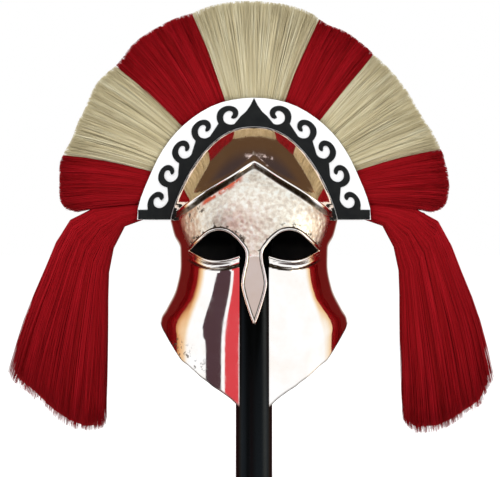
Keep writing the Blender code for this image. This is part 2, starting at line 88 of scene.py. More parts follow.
def mesh_from(name, points, faces, smooth=True):
    """A mesh from points and from lists of faces, each list with one number of corners."""
    points = np.asarray(points, np.float32).reshape(-1, 3)
    kinds = [np.asarray(part, np.int32) for part in faces if len(part)]
    corners = np.concatenate([part.ravel() for part in kinds])
    sizes = np.concatenate([np.full(len(part), part.shape[1]) for part in kinds])
    mesh = bpy.data.meshes.new(name)
    mesh.vertices.add(len(points))
    mesh.vertices.foreach_set("co", points.ravel())
    mesh.loops.add(len(corners))
    mesh.loops.foreach_set("vertex_index", corners)
    mesh.polygons.add(len(sizes))
    mesh.polygons.foreach_set("loop_start", np.concatenate([[0], np.cumsum(sizes)[:-1]]).astype(np.int32))
    mesh.update(calc_edges=True)
    mesh.validate()
    if smooth:
        mesh.shade_smooth()
    return mesh


def piece(mesh, slot, replaced, *materials):
    """An object of the helmet: it rides on the root and stands for its solid. The slot is not used."""
    obj = placed(mesh.name, mesh)
    for finish in materials:
        mesh.materials.append(finish)
    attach(obj, "root")
    if replaced:
        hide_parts(*replaced)
    print(mesh.name, "faces:", len(mesh.polygons))


def attribute(mesh, name, values):
    """A number for each point, which a material can read by its name."""
    kept = mesh.attributes.new(name, "FLOAT", "POINT")
    kept.data.foreach_set("value", np.asarray(values, np.float32).ravel())


# %% [markdown]
# A smith thinks in a few stations and lets the hammer join them. The same idea works for tables: a
# monotone cubic goes through a table's rows without swinging past them.

# %% Curves through tables
def through(at, places, values):
    """A monotone cubic: in each span the Hermite blend of its ends, with the slope at a row the
    harmonic mean of its two spans' slopes, or flat where they turn."""
    x, y = np.asarray(places, float), np.asarray(values, float)
    rise = np.diff(y) / np.diff(x)
    product = rise[:-1] * rise[1:]
    total = np.where(product > 0, rise[:-1] + rise[1:], 1.0)
    slope = np.concatenate([rise[:1], np.where(product > 0, 2 * product / total, 0.0), rise[-1:]])
    at = np.clip(np.asarray(at, float), x[0], x[-1])
    i = np.clip(np.searchsorted(x, at) - 1, 0, len(x) - 2)
    width = x[i + 1] - x[i]
    t = (at - x[i]) / width
    start = (1 + 2 * t) * (1 - t) ** 2 * y[i] + t * (1 - t) ** 2 * width * slope[i]
    end = t * t * (3 - 2 * t) * y[i + 1] + t * t * (t - 1) * width * slope[i + 1]
    return start + end


def ease(value, low, high):
    """0 below low, 1 above high, and 3t^2 - 2t^3 between."""
    t = np.clip((np.asarray(value, float) - low) / (high - low), 0, 1)
    return t * t * (3 - 2 * t)


def unit(vectors):
    """Vectors divided by their lengths."""
    return vectors / np.maximum(np.linalg.norm(vectors, axis=-1, keepdims=True), 1e-12)


def signed_power(value, power):
    """|value|^power with the value's sign."""
    return np.sign(value) * np.abs(value) ** power


def travelled(line):
    """The length along a line of points, up to each of them."""
    return np.concatenate([[0], np.cumsum(np.linalg.norm(np.diff(line, axis=0), axis=1))])


def stood(flat, depth):
    """Places from their x and z and a depth between."""
    return np.stack([flat[..., 0], depth, flat[..., 1]], axis=-1)


def halve(stays, low, high, times):
    """Halves each interval again and again: low moves up to the middle where stays(middle) is
    true, and high comes down to it elsewhere."""
    for _ in range(times):
        middle = (low + high) / 2
        held = stays(middle)
        low, high = np.where(held, middle, low), np.where(held, high, middle)
    return low, high


def facing(surface, turn, height, turn_step, height_step):
    """The cross product of a surface's two directions, by small steps of turn and height."""
    across = surface(turn + turn_step, height) - surface(turn - turn_step, height)
    up = surface(turn, height + height_step) - surface(turn, height - height_step)
    return unit(np.cross(across, up))


def cap(ring, pole):
    """Triangles that join each side of a ring of points to its middle point."""
    return np.stack([ring, np.roll(ring, -1), np.full(len(ring), pole)], axis=1)


def mirrored(line):
    """A line in x and height, on the other side of the helmet and run the other way."""
    return line[::-1] * (-1, 1)


# %% [markdown]
# The helmet is one sheet, raised over stakes: a skull, a brow that steps out over the face, a nasal,
# two cheek plates and a flared neck. Its plan at each height is a superellipse, squarer in front
# than behind. Heights are counted from the cheek plates' tips.

# %% The shell's sizes
CHEEK_TIP_Z = 0.142
EQUATOR_HEIGHT = 0.210
CROWN_HEIGHT = 0.112
HALF_WIDTH = 0.098
FRONT_DEPTH = 0.118
BACK_DEPTH = 0.122
WALL = 0.0016
BROW_STEP = 0.005
FRONT_SQUARE = 2.5
BACK_SQUARE = 2.1
FLARE_EASE = 0.020  # in front the flare of the cheeks is planished smooth
NASAL_FOLD = 0.170
NASAL_SLOPE = 0.075
FOLD_SOFT = 0.002
LEAF_SIDES = (0.0146, 0.0160)  # the lean fades out past the leaf's sides
LEAF_FOOT = (0.083, 0.091)  # and below its tip
CROWN_WIDTH = (1.25, 2.15)
CROWN_DEPTH = (2.0, 2.0)
SECTIONS = {
    "height": (0.00, 0.40, 0.46, 0.515, 0.63, 0.76, 0.85, 0.92, 1.00),
    "width": (1.140, 1.125, 1.110, 1.045, 0.930, 0.882, 0.886, 0.955, 1.00),
    "front": (1.080, 1.055, 1.050, 1.040, 1.030, 1.020, 1.010, 1.005, 1.00),
    "back": (1.300, 1.250, 1.200, 1.100, 0.960, 0.900, 0.910, 0.955, 1.00),
}
HEM = {
    "angle": (0, 3.5, 6, 8, 10, 13, 16, 20, 24, 29, 34, 40, 46, 52, 59, 71, 85, 100, 130, 180),
    "height": (0.0, 0.0, 0.020, 0.041, 0.059, 0.080, 0.0985, 0.119, 0.144, 0.169, 0.198, 0.228, 0.250, 0.288,
               0.333, 0.395, 0.433, 0.440, 0.420, 0.400),
}
BROW = {
    "angle": (0, 13, 30, 45, 55, 75, 90, 180),
    "height": (1.314, 1.241, 1.167, 1.107, 1.076, 1.038, 1.019, 1.019),
    "step": (1.0, 1.0, 1.0, 1.0, 0.85, 0.25, 0.0, 0.0),
}
# The brow's cut, above (+) or below (-) its edge in metres, as a share of the step behind the skull.
BROW_CUT = {
    "above": (-0.0095, -0.0075, -0.0045, -0.0018, -0.0004, 0.0012, 0.0035, 0.0070),
    "behind": (1.0, 0.97, 0.62, 0.16, -0.10, -0.20, -0.10, 0.0),
}


# %% The shell's formula
def crown_share(height, powers):
    """(1 - s^rise)^(1/spread), with s the way from the equator to the crown."""
    s = np.clip((height - EQUATOR_HEIGHT) / CROWN_HEIGHT, 0, 1)
    return np.clip(1 - s ** powers[0], 0, 1) ** (1 / powers[1])


def plan(height, eased=0.0):
    """Half width, depth in front and depth behind at a height: the sections' shares, averaged over
    five heights as far as the eased length up and down, and drawn in over the crown."""
    spread = [(height + eased * step) / EQUATOR_HEIGHT for step in (-1.0, -0.5, 0.0, 0.5, 1.0)]
    low = {key: sum(through(at, SECTIONS["height"], SECTIONS[key]) for at in spread) / 5 for key in SECTIONS}
    return (HALF_WIDTH * low["width"] * crown_share(height, CROWN_WIDTH),
            FRONT_DEPTH * low["front"] * crown_share(height, CROWN_DEPTH),
            BACK_DEPTH * low["back"] * crown_share(height, CROWN_DEPTH))


def round_the_head(turn, table, key):
    """A column of the brow's or the hem's table at a turn, alike on both sides."""
    return through(np.degrees(np.abs(turn)), table["angle"], table[key])


def edge_height(turn, table):
    """The height of the brow's or the hem's edge at a turn."""
    return EQUATOR_HEIGHT * round_the_head(turn, table, "height")


def brow_inset(turn, height):
    """How far the sheet lies behind the skull: the brow's step times its cut at this height."""
    cut = through(height - edge_height(turn, BROW), BROW_CUT["above"], BROW_CUT["behind"])
    return BROW_STEP * round_the_head(turn, BROW, "step") * cut


def nasal_lean(x, height):
    """The leaf of the nasal tilts in below the eyes: a slope times the way below a soft fold."""
    below = NASAL_FOLD - height
    rounded_fold = np.clip(below + FOLD_SOFT, 0, None) ** 2 / (4 * FOLD_SOFT)
    soft = np.where(below > FOLD_SOFT, below, rounded_fold)
    return NASAL_SLOPE * soft * (1 - ease(np.abs(x), *LEAF_SIDES)) * ease(height, *LEAF_FOOT)


def skin(turn, height):
    """x = half |sin|^(2/n) and y = -depth |cos|^(2/n), each with its sign, less the brow's inset
    along the turn's direction, and z = the height above the cheek tips."""
    half, front, back = plan(height, FLARE_EASE * (1 - ease(np.abs(turn), 0.75, 1.25)))
    side, ahead = np.sin(turn), np.cos(turn)
    power = 2 / np.where(ahead >= 0, FRONT_SQUARE, BACK_SQUARE)
    depth = np.where(ahead >= 0, front, back)
    inset = brow_inset(turn, height)
    x = half * signed_power(side, power) - inset * side
    y = inset * ahead - depth * signed_power(ahead, power) + nasal_lean(x, height) * (ahead > 0)
    return np.stack([x, y, CHEEK_TIP_Z + height + 0 * x], axis=-1)


def turn_at(x, height):
    """The turn at which the front of the skin reaches x: the interval is halved 40 times."""
    def short(turn):
        """Whether the skin is still nearer the middle than x."""
        return skin(turn, height)[..., 0] < np.abs(x)

    low, high = halve(short, np.zeros_like(x), np.full_like(x, math.pi / 2), 40)
    return np.sign(x) * (low + high) / 2


def skin_normal(turn, height):
    """The way the skin faces."""
    return facing(skin, turn, height, 1e-4, 1e-4)


print("skin in front, at the eyes:", skin(np.array(0.0), np.array(0.18)))

# %% [markdown]
# The face is pierced in one cut: almond eyes that run into a slot, round the leaf of the nasal. A
# smith scribes this outline on the sheet. Here a smooth line goes through its marks, with corners
# kept where the real edge has them.

# %% The opening's outline
SLOT_HALF = 0.0165
EYE_HALF_SPAN = 0.074
EYE_LINE = 0.176
EYE_RISE = 0.024
NASAL_HALF = 0.014
NASAL_TIP = 0.0955
EYE_TOP = {
    "side": (0.216, 0.300, 0.405, 0.540, 0.676, 0.811, 0.919, 1.000),
    "rise": (0.400, 0.670, 0.895, 0.980, 0.870, 0.560, 0.270, 0.000),
}
EYE_LOW = {
    "side": (1.000, 0.865, 0.703, 0.540, 0.378, 0.223),
    "rise": (0.000, -0.210, -0.395, -0.440, -0.375, -0.230),
}
NASAL = {
    "half": (0.10, 0.34, 0.60, 0.84, 1.00, 0.97, 0.83, 0.68, 0.69),
    "along": (0.00, 0.11, 0.25, 0.39, 0.53, 0.62, 0.75, 0.87, 1.00),
}
LINE_STEP = 0.0006


def smooth_line(marks):
    """A Catmull-Rom line through marks: in each span a cubic whose end slopes are half the step
    between the neighbours, sampled evenly."""
    marks = np.asarray(marks, float)
    padded = np.vstack([2 * marks[0] - marks[1], marks, 2 * marks[-1] - marks[-2]])
    p0, p1, p2, p3 = padded[:-3], padded[1:-2], padded[2:-1], padded[3:]
    t = np.linspace(0, 1, 24, endpoint=False)[None, :, None]
    curve = 0.5 * (2 * p1[:, None] + (p2 - p0)[:, None] * t
                   + (2 * p0 - 5 * p1 + 4 * p2 - p3)[:, None] * t**2
                   + (3 * p1 - p0 - 3 * p2 + p3)[:, None] * t**3)
    dense = np.vstack([curve.reshape(-1, marks.shape[1]), marks[-1:]])
    along = travelled(dense)
    even = np.linspace(0, along[-1], max(2, round(along[-1] / LINE_STEP)))
    return np.stack([np.interp(even, along, dense[:, k]) for k in range(marks.shape[1])], axis=1)


def eye_marks(table):
    """A lid's marks: side times the eyes' half span, and the eyes' line plus rise."""
    side, rise = np.array(table["side"]), np.array(table["rise"])
    return np.stack([side * EYE_HALF_SPAN, EYE_LINE + rise * EYE_RISE], axis=1)


nasal_marks = np.stack([np.array(NASAL["half"]) * NASAL_HALF,
                        NASAL_TIP + np.array(NASAL["along"]) * (EYE_LINE - NASAL_TIP)], axis=1)
inner_edge = smooth_line(np.vstack([nasal_marks, eye_marks(EYE_TOP)]))
lower_lid = smooth_line(eye_marks(EYE_LOW))
slot_side = smooth_line([lower_lid[-1], (SLOT_HALF, -0.02)])
right_half = np.vstack([inner_edge, lower_lid[1:], slot_side[1:]])
opening = np.vstack([right_half, mirrored(right_half)])
print("points on the opening's outline:", len(opening))


# %% Where a place lies against the outline
def inside_opening(x, height):
    """Even-odd rule: a place is inside where a level ray crosses the outline an odd number of
    times."""
    a, b = opening, np.roll(opening, -1, axis=0)
    found = np.zeros(x.shape, bool)
    for part in np.array_split(np.arange(len(a)), 8):
        ax, az, bx, bz = (v[part][:, None] for v in (a[:, 0], a[:, 1], b[:, 0], b[:, 1]))
        spans = (az > height[None]) != (bz > height[None])
        cross = ax + (height[None] - az) * (bx - ax) / np.where(bz == az, 1, bz - az)
        found ^= (np.sum(spans & (x[None] < cross), axis=0) % 2).astype(bool)
    return found


def near_line(x, height, line):
    """Distance to a line's nearest point, and which point it is."""
    gap = np.hypot(x[:, None] - line[None, :, 0], height[:, None] - line[None, :, 1])
    return gap.min(axis=1), gap.argmin(axis=1)


# %% [markdown]
# The sheet is a grid of columns round the head and rows up it, close together where the face is cut
# and wider behind. Where the outline passes between two grid points, the nearer one moves onto it,
# so the edge of the cut is clean and the polished surface beside it stays even.

# %% The sheet's grid
COLUMN_FRONT = 0.0019
COLUMN_BACK = 0.0062
ROWS = {"share": (0.0, 0.50, 0.75, 1.0), "number": (0, 38, 78, 96)}
SKULL_SHARES = 34

fine = np.linspace(0, math.pi, 4001)
fine_plan = skin(fine, np.full_like(fine, EQUATOR_HEIGHT * 0.8))
travel = travelled(fine_plan)
spacing = COLUMN_FRONT + (COLUMN_BACK - COLUMN_FRONT) * ease(travel, 0.105, 0.165)
counted = np.concatenate([[0], np.cumsum(np.diff(travel) / spacing[1:])])
half_columns = round(counted[-1])
right_turns = np.interp(np.linspace(0, counted[-1], half_columns + 1), counted, fine)
turns = np.concatenate([right_turns, -right_turns[-2:0:-1]])

hem, brow = edge_height(turns, HEM), edge_height(turns, BROW)
crown = EQUATOR_HEIGHT + CROWN_HEIGHT
face_shares = np.interp(np.arange(ROWS["number"][-1]), ROWS["number"], ROWS["share"])
face_rows = hem + face_shares[:, None] * (brow + BROW_CUT["above"][0] - hem)
brow_rows = brow + np.linspace(BROW_CUT["above"][0], BROW_CUT["above"][-1], 19)[:-1, None]
skull_shares = np.sin(np.linspace(0, 0.985, SKULL_SHARES) * math.pi / 2)[:, None]
lip = brow + BROW_CUT["above"][-1]
heights = np.vstack([face_rows, brow_rows, lip + skull_shares * (crown - lip)])
turn_grid = np.broadcast_to(turns, heights.shape).copy()
print("sheet:", heights.shape)


# %% Fit the grid to the cut
def cut_places(turn, height):
    """Whether places on the skin's front lie in the opening."""
    place = skin(turn, height)
    return inside_opening(place[:, 0], height) & (np.abs(turn) < math.pi / 2)


def fit_to_cut(turn, height):
    """Each grid edge that crosses the outline is halved until the crossing is found, and the nearer
    end moves there. Returns the points' states: 0 on the outline, 1 in the opening, 2 in the metal."""
    rows, columns = turn.shape
    inside = cut_places(turn.ravel(), height.ravel())
    number = np.arange(rows * columns).reshape(rows, columns)
    beside = np.stack([number, np.roll(number, -1, axis=1)], axis=-1).reshape(-1, 2)
    above = np.stack([number[:-1], number[1:]], axis=-1).reshape(-1, 2)
    edges = np.vstack([beside, above])
    edges = edges[inside[edges[:, 0]] != inside[edges[:, 1]]]
    flat_turn, flat_height = turn.ravel().copy(), height.ravel().copy()
    a, b = edges[:, 0], edges[:, 1]

    def along(t):
        """Turn and height at share t of each edge."""
        return tuple(values[a] + t * (values[b] - values[a]) for values in (flat_turn, flat_height))

    low, high = halve(lambda t: cut_places(*along(t)) == inside[a], np.zeros(len(a)), np.ones(len(a)), 14)
    t = (low + high) / 2
    new_turn, new_height = along(t)
    moved = np.where(t < 0.5, a, b)
    order = np.argsort(-np.minimum(t, 1 - t))
    state = np.where(inside, 1, 2)
    flat_turn[moved[order]] = new_turn[order]
    flat_height[moved[order]] = new_height[order]
    state[moved] = 0
    return flat_turn, flat_height, state


sheet_turn, sheet_height, state = fit_to_cut(turn_grid, heights)
corner = lower_lid[0]
for side in (-1, 1):
    tip = np.array([side * corner[0]]), np.array([corner[1]])
    at = turn_at(*tip)
    reach = np.hypot((sheet_turn - at) * HALF_WIDTH, sheet_height - corner[1])
    nearest = np.where(state == 0, reach, 1).argmin()
    sheet_turn[nearest], sheet_height[nearest] = at[0], corner[1]

# Quads with metal corners stay whole, and one that the cut crosses keeps the half at its metal corner.
quads = grid_faces(*heights.shape, around=True)
kinds = state[quads]
has_cut, has_metal = (kinds == 1).any(axis=1), (kinds == 2).any(axis=1)
on_metal = ~cut_places(sheet_turn[quads].mean(axis=1), sheet_height[quads].mean(axis=1))
whole = quads[(has_metal & ~has_cut) | ((kinds == 0).all(axis=1) & on_metal)]
split = has_cut & has_metal
metal_corner = (kinds[split] == 2).argmax(axis=1)
halves = np.take_along_axis(quads[split], (metal_corner[:, None] + np.array([-1, 0, 1])) % 4, axis=1)
print("whole faces:", len(whole), "split faces:", len(halves))

# %% [markdown]
# Below each eye the edge is turned into a thick lid: it swells away from the cut, runs round in a
# bright line, and drops sharply to the cheek. It is raised in the sheet itself, so it is a swelling
# of the same surface, by the distance below the lid's edge.

# %% The lids
LID = {
    "below": (0.0, 0.0020, 0.0045, 0.0068, 0.0082, 0.0096, 0.0112, 0.0130),
    "rise": (0.0, 0.0007, 0.0018, 0.0026, 0.0023, 0.0012, 0.0003, 0.0),
}
LID_TAPER = 0.010

lid_length = travelled(lower_lid)


def below_lid(x, height):
    """The distance below the lid's edge, and how fully the lid is raised there."""
    near = (np.abs(height - EYE_LINE) < 0.03) & (np.abs(x) > SLOT_HALF - 0.001) & (np.abs(x) < 0.09)
    distance, fade = np.full(x.shape, 1.0), np.zeros(x.shape)
    gap, which = near_line(np.abs(x[near]), height[near], lower_lid)
    under = height[near] <= lower_lid[which, 1] + 1e-6
    distance[near] = np.where(under, gap, 1.0)
    fade[near] = np.where(under, ease(lid_length[which], 0.0, LID_TAPER), 0.0)
    return distance, fade


def sheet_place(turn, height):
    """The skin, moved out along its normal by the lid's rise."""
    place = skin(turn, height)
    distance, fade = below_lid(np.where(np.cos(turn) > 0, place[:, 0], 1.0), height)
    rise = fade * through(distance, LID["below"], LID["rise"])
    return place + rise[:, None] * skin_normal(turn, height)


place = sheet_place(sheet_turn, sheet_height)
normal = facing(sheet_place, sheet_turn, sheet_height, 2e-3, 2e-4)
lid_gap, lid_fade = below_lid(np.where(np.cos(sheet_turn) > 0, place[:, 0], 1.0), sheet_height)
print("places raised in the lids:", int((lid_fade > 0).sum()))

# %% Marks on the sheet
# Bands are low, high and soft length; lengths are metres above the brow's or the hem's edge.
# Tarnish with painted shade: in the brow's undercut, and in the groove under each lid.
BROW_TARNISH_AND_SHADE = (-0.0078, -0.0022, 0.0007)
LID_TARNISH_AND_SHADE = (0.0088, 0.0112, 0.0007)
# Darker in a thin band along the hem's edge.
HEM_DARK_BAND = (0.0010, 0.0024)
WORN_BAND = {"height": (-0.022, -0.010, 0.003), "turn": (-0.90, -0.55, 0.06)}
# Where a painted red reflection lies, below the left brow.
PAINTED_RED_BAND = {"height": (-0.0132, -0.0070, 0.0012), "turn": (-0.64, -0.12, 0.05)}
WORN_MOST = 0.8


def band(value, low, high, soft):
    """1 between low and high, falling to 0 over a soft length on both sides."""
    return ease(value, low - soft, low + soft) * (1 - ease(value, high - soft, high + soft))


bearing = np.abs(sheet_turn)
above_brow, above_hem = (sheet_height - edge_height(sheet_turn, table) for table in (BROW, HEM))
hammered = ease(sheet_height, EYE_LINE - 0.008, EYE_LINE - 0.002)
hammered *= (1 - ease(above_brow, -0.012, -0.004)) * (1 - ease(bearing, 0.9, 1.2))

# Tarnish with painted shade where the sheet turns under, at the brow's step and below the lids.
tarnish_and_shade = band(above_brow, *BROW_TARNISH_AND_SHADE) * round_the_head(sheet_turn, BROW, "step")
tarnish_and_shade = np.maximum(tarnish_and_shade, lid_fade * band(lid_gap, *LID_TARNISH_AND_SHADE))
# Darker in a thin band along the hem's edge.
tarnish_and_shade = np.maximum(tarnish_and_shade, 1.0 - ease(above_hem, *HEM_DARK_BAND))
on_left_cheek = ease(-sheet_turn, 0.35, 0.55) * (1 - ease(-sheet_turn, 0.9, 1.1))
worn = WORN_MOST * (1 - ease(above_hem, 0.008, 0.030)) * on_left_cheek
face = np.where((bearing < 1.1) & (np.abs(sheet_height - EYE_LINE) < 0.045))[0]
rim_gap = near_line(np.abs(place[face, 0]), sheet_height[face], inner_edge)[0]
worn[face] = np.maximum(worn[face], (1 - ease(rim_gap, 0.004, 0.011)) * (sheet_height[face] > EYE_LINE))
worn_brow = band(above_brow, *WORN_BAND["height"]) * band(sheet_turn, *WORN_BAND["turn"])
worn = np.maximum(worn, WORN_MOST * worn_brow)
# A painted red reflection below the left brow, laid into the metal's colour.
painted_red_reflection = band(above_brow, *PAINTED_RED_BAND["height"]) * band(sheet_turn, *PAINTED_RED_BAND["turn"])
from_crest = np.clip((np.abs(place[:, 1]) - 0.022) / 0.078, 0, 1)
tilt = 0.66 * (1 - from_crest) ** 1.4 * (0.4 + 0.6 * ease(from_crest, 0.0, 0.15))
tilt *= ease(above_brow, 0.003, 0.013) * np.sign(place[:, 1])
print("tarnished_and_shaded share:", round(float((tarnish_and_shade > 0.5).mean()), 3))

# %% [markdown]
# Polished bronze that has been raised by hand is never a perfect mirror: the planishing hammer leaves
# soft facets, plainest on the forehead, and handling leaves faint clouds. There the facets' glints are
# painted into the colour as lighter and darker spots. Tarnish with painted shade darkens the folds, and
# a painted red reflection lies along the left brow. So the metal is one Principled shader at full
# metallic with a little roughness, clouded by noise, and a shallow bump.

# %% Materials: a few helpers
def new_finish(name, colour, roughness, metallic=0.0):
    """A material with one Principled shader, as the material, its tree and the shader."""
    made = bpy.data.materials.new(name)
    made.use_nodes = True
    shader = made.node_tree.nodes["Principled BSDF"]
    for key, value in (("Base Color", (*colour, 1)), ("Roughness", roughness), ("Metallic", metallic)):
        shader.inputs[key].default_value = value
    return made, made.node_tree, shader


def add_node(tree, kind, settings=None, **inputs):
    """A node with its settings, and its inputs, by name or as i and a number, linked or given a
    value."""
    node = tree.nodes.new(kind)
    for key, value in (settings or {}).items():
        setattr(node, key, value)
    for key, value in inputs.items():
        socket = node.inputs[int(key[1:]) if key[0] == "i" and key[1:].isdigit() else key.replace("_", " ")]
        if isinstance(value, bpy.types.NodeSocket):
            tree.links.new(value, socket)
        else:
            socket.default_value = value
    return node


def feed(shader, **sockets):
    """Links sockets to a shader's inputs."""
    for key, socket in sockets.items():
        shader.id_data.links.new(socket, shader.inputs[key.replace("_", " ")])


def maths(tree, kind, first, second=0.0, third=0.0, **settings):
    """A sum on numbers. MULTIPLY_ADD is first * second + third."""
    settings["operation"] = kind
    return add_node(tree, "ShaderNodeMath", settings, i0=first, i1=second, i2=third).outputs[0]


def blend(tree, share, first, second):
    """Two colours mixed by a share."""
    first, second = (one if isinstance(one, bpy.types.NodeSocket) else (*one, 1) for one in (first, second))
    return add_node(tree, "ShaderNodeMix", {"data_type": "RGBA"}, i0=share, i6=first, i7=second).outputs[2]


def marked(tree, name):
    """The number that each point keeps under a name."""
    return add_node(tree, "ShaderNodeAttribute", {"attribute_name": name}).outputs["Fac"]


def ramp(tree, value, *stops):
    """A colour ramp through (place, colour) stops; a colour of one number is a grey."""
    node = add_node(tree, "ShaderNodeValToRGB", i0=value)
    while len(node.color_ramp.elements) < len(stops):
        node.color_ramp.elements.new(0.5)
    for element, (place_at, colour) in zip(node.color_ramp.elements, stops):
        element.position = place_at
        element.color = (*colour, 1) if len(colour) == 3 else (colour[0],) * 3 + (1,)
    return node.outputs["Color"]


def object_place(tree):
    """Places in the object's own metres."""
    return tree.nodes.new("ShaderNodeTexCoord").outputs["Object"]


def noise(tree, place_socket, scale, detail=3.0, roughness=0.5):
    """Cloudy noise with about one cloud in 1/scale metres."""
    return add_node(tree, "ShaderNodeTexNoise", Vector=place_socket, Scale=scale, Detail=detail,
                    Roughness=roughness).outputs["Fac"]


def dented(tree, height, strength, distance, **inputs):
    """A normal that is tipped by the slopes of a height."""
    node = add_node(tree, "ShaderNodeBump", Height=height, Strength=strength, Distance=distance, **inputs)
    return node.outputs["Normal"]


# %% Materials: one clouded finish
def clouded(name, colour, roughness, clouds, stops, dents=None, specular=None, feeds="Base_Color",
            stretch=(1.0, 1.0, 1.0)):
    """A plain finish that clouds between two stops. Clouds are a noise's scale and detail, and dents
    a noise's scale with the bump's strength and distance."""
    made, tree, shader = new_finish(name, colour, roughness)
    at = object_place(tree)
    stretched = add_node(tree, "ShaderNodeMapping", Vector=at, Scale=stretch).outputs["Vector"]
    feed(shader, **{feeds: ramp(tree, noise(tree, stretched, *clouds), *stops)})
    if dents:
        feed(shader, Normal=dented(tree, noise(tree, at, dents[0]), *dents[1:]))
    if specular is not None:
        shader.inputs["Specular IOR Level"].default_value = specular
    return made


# %% Materials: the metal
METAL = (0.90, 0.72, 0.585)
METAL_WARM = (0.87, 0.67, 0.52)
# The colour of tarnish with painted shade in the folds, also taken by the worn specks.
TARNISH_AND_SHADE_COLOUR = (0.075, 0.046, 0.026)
# The colour of the painted red reflection along the left brow.
PAINTED_RED_COLOUR = (0.66, 0.11, 0.05)
# Painted glints of the hammer's facets: the forehead's colour is spotted lighter and darker.
FACET_GLINTS = ((0.34, (0.70, 0.51, 0.36)), (0.49, (0.86, 0.66, 0.47)), (0.62, (0.95, 0.79, 0.61)))

bronze, tree, shader = new_finish("polished_bronze", METAL, 0.07, 1.0)
at = object_place(tree)
mask = marked(tree, "hammered")
clouds = ramp(tree, noise(tree, at, 38.0, 5.0, 0.6), (0.30, METAL_WARM), (0.62, METAL))
# Painted facet glints on the forehead, lighter and darker spots in the colour.
painted_facet_glints = ramp(tree, noise(tree, at, 210.0, 3.0, 0.55), *FACET_GLINTS)
# The painted red reflection lies in patches; the metal's colour also carries the painted facet glints.
red_reflection_patches = ramp(tree, noise(tree, at, 150.0, 3.0, 0.6), (0.40, (0.25,)), (0.50, (1.0,)))
red_reflection_share = maths(tree, "MULTIPLY", marked(tree, "painted_red_reflection"), red_reflection_patches)
metal_with_painted_light = blend(tree, red_reflection_share, blend(tree, mask, clouds, painted_facet_glints), PAINTED_RED_COLOUR)
uneven = maths(tree, "MULTIPLY_ADD", noise(tree, at, 160.0, 4.0), 0.7, 0.62)
speck_places = ramp(tree, noise(tree, at, 170.0, 3.5, 0.62), (0.54, (0.0,)), (0.60, (1.0,)))
specks = maths(tree, "MULTIPLY", speck_places, marked(tree, "worn"))
# Darkened by tarnish with painted shade in the folds, and by worn specks.
dark_share = maths(tree, "MULTIPLY_ADD", marked(tree, "tarnish_and_shade"), uneven, specks, use_clamp=True)
cloudy = ramp(tree, noise(tree, at, 90.0, 4.0), (0.35, (0.035,)), (0.75, (0.10,)))
satin = maths(tree, "MULTIPLY_ADD", mask, 0.38, cloudy)
feed(shader, Base_Color=blend(tree, dark_share, metal_with_painted_light, TARNISH_AND_SHADE_COLOUR),
     Roughness=maths(tree, "MULTIPLY_ADD", dark_share, 0.28, satin))

# %% [markdown]
# The dome was drawn up to the crest with long hammer strokes, so its sheen runs steeper there than
# its outline. The normal is leaned towards the front, or the back, before the hammer's dents go on.

# %% Materials: the hammer's dents
lean = add_node(tree, "ShaderNodeCombineXYZ", Y=marked(tree, "tilt")).outputs["Vector"]
own_normal = tree.nodes.new("ShaderNodeNewGeometry").outputs["Normal"]
leaned = add_node(tree, "ShaderNodeVectorMath", {"operation": "ADD"}, i0=own_normal, i1=lean).outputs["Vector"]
drawn = add_node(tree, "ShaderNodeVectorMath", {"operation": "NORMALIZE"}, i0=leaned).outputs["Vector"]
dents = add_node(tree, "ShaderNodeTexVoronoi", {"feature": "SMOOTH_F1"},
                 Vector=at, Scale=170.0, Smoothness=0.8)
strength = maths(tree, "MULTIPLY_ADD", mask, 0.55, 0.010)
feed(shader, Normal=dented(tree, dents.outputs["Distance"], strength, 0.0012, Normal=drawn))

# The inside of the sheet is near-black.
dark_inside_finish = clouded("near_black_inside", (0.012, 0.010, 0.009), 0.75, (60.0, 4.0),
                    ((0.3, (0.006, 0.005, 0.005)), (0.8, (0.022, 0.016, 0.012))))
print("metal finishes made")

# %% Put the sheet together
used, packed = np.unique(np.concatenate([whole.ravel(), halves.ravel()]), return_inverse=True)
whole_packed = packed[: whole.size].reshape(-1, 4)
halves_packed = packed[whole.size:].reshape(-1, 3)
columns = heights.shape[1]
last_ring = np.searchsorted(used, np.arange(columns) + (heights.shape[0] - 1) * columns)
outer = np.vstack([place[used], [[0, 0, CHEEK_TIP_Z + crown]]])
outward = np.vstack([normal[used], [[0, 0, 1]]])
count = len(outer)
corners3 = np.vstack([halves_packed, cap(last_ring, len(used))])
walked = np.vstack([np.stack([part, np.roll(part, -1, axis=1)], axis=-1).transpose(1, 0, 2).reshape(-1, 2)
                    for part in (whole_packed, corners3)])
lone = walked[~np.isin(walked[:, 0] * count + walked[:, 1], walked[:, 1] * count + walked[:, 0])]
rim = np.stack([lone[:, 1], lone[:, 0], lone[:, 0] + count, lone[:, 1] + count], axis=1)
quads4 = np.vstack([whole_packed, whole_packed[:, ::-1] + count, rim])
shell_mesh = mesh_from("helmet", np.vstack([outer, outer - WALL * outward]),
                       [quads4, np.vstack([corners3, corners3[:, ::-1] + count])])
print("edge faces round the cut and the hem:", len(rim))

# %% [markdown]
# A mirror shows every small unevenness of a mesh, so the smooth sides get the formula's own normals
# in place of averaged ones, and the cut edges stay crisp.

# %% Exact normals and marks
def read(items, key, kind=np.int32, width=1):
    """All values of one property of a mesh's parts, as an array."""
    values = np.zeros(len(items) * width, kind)
    items.foreach_get(key, values)
    return values.reshape(-1, width) if width > 1 else values


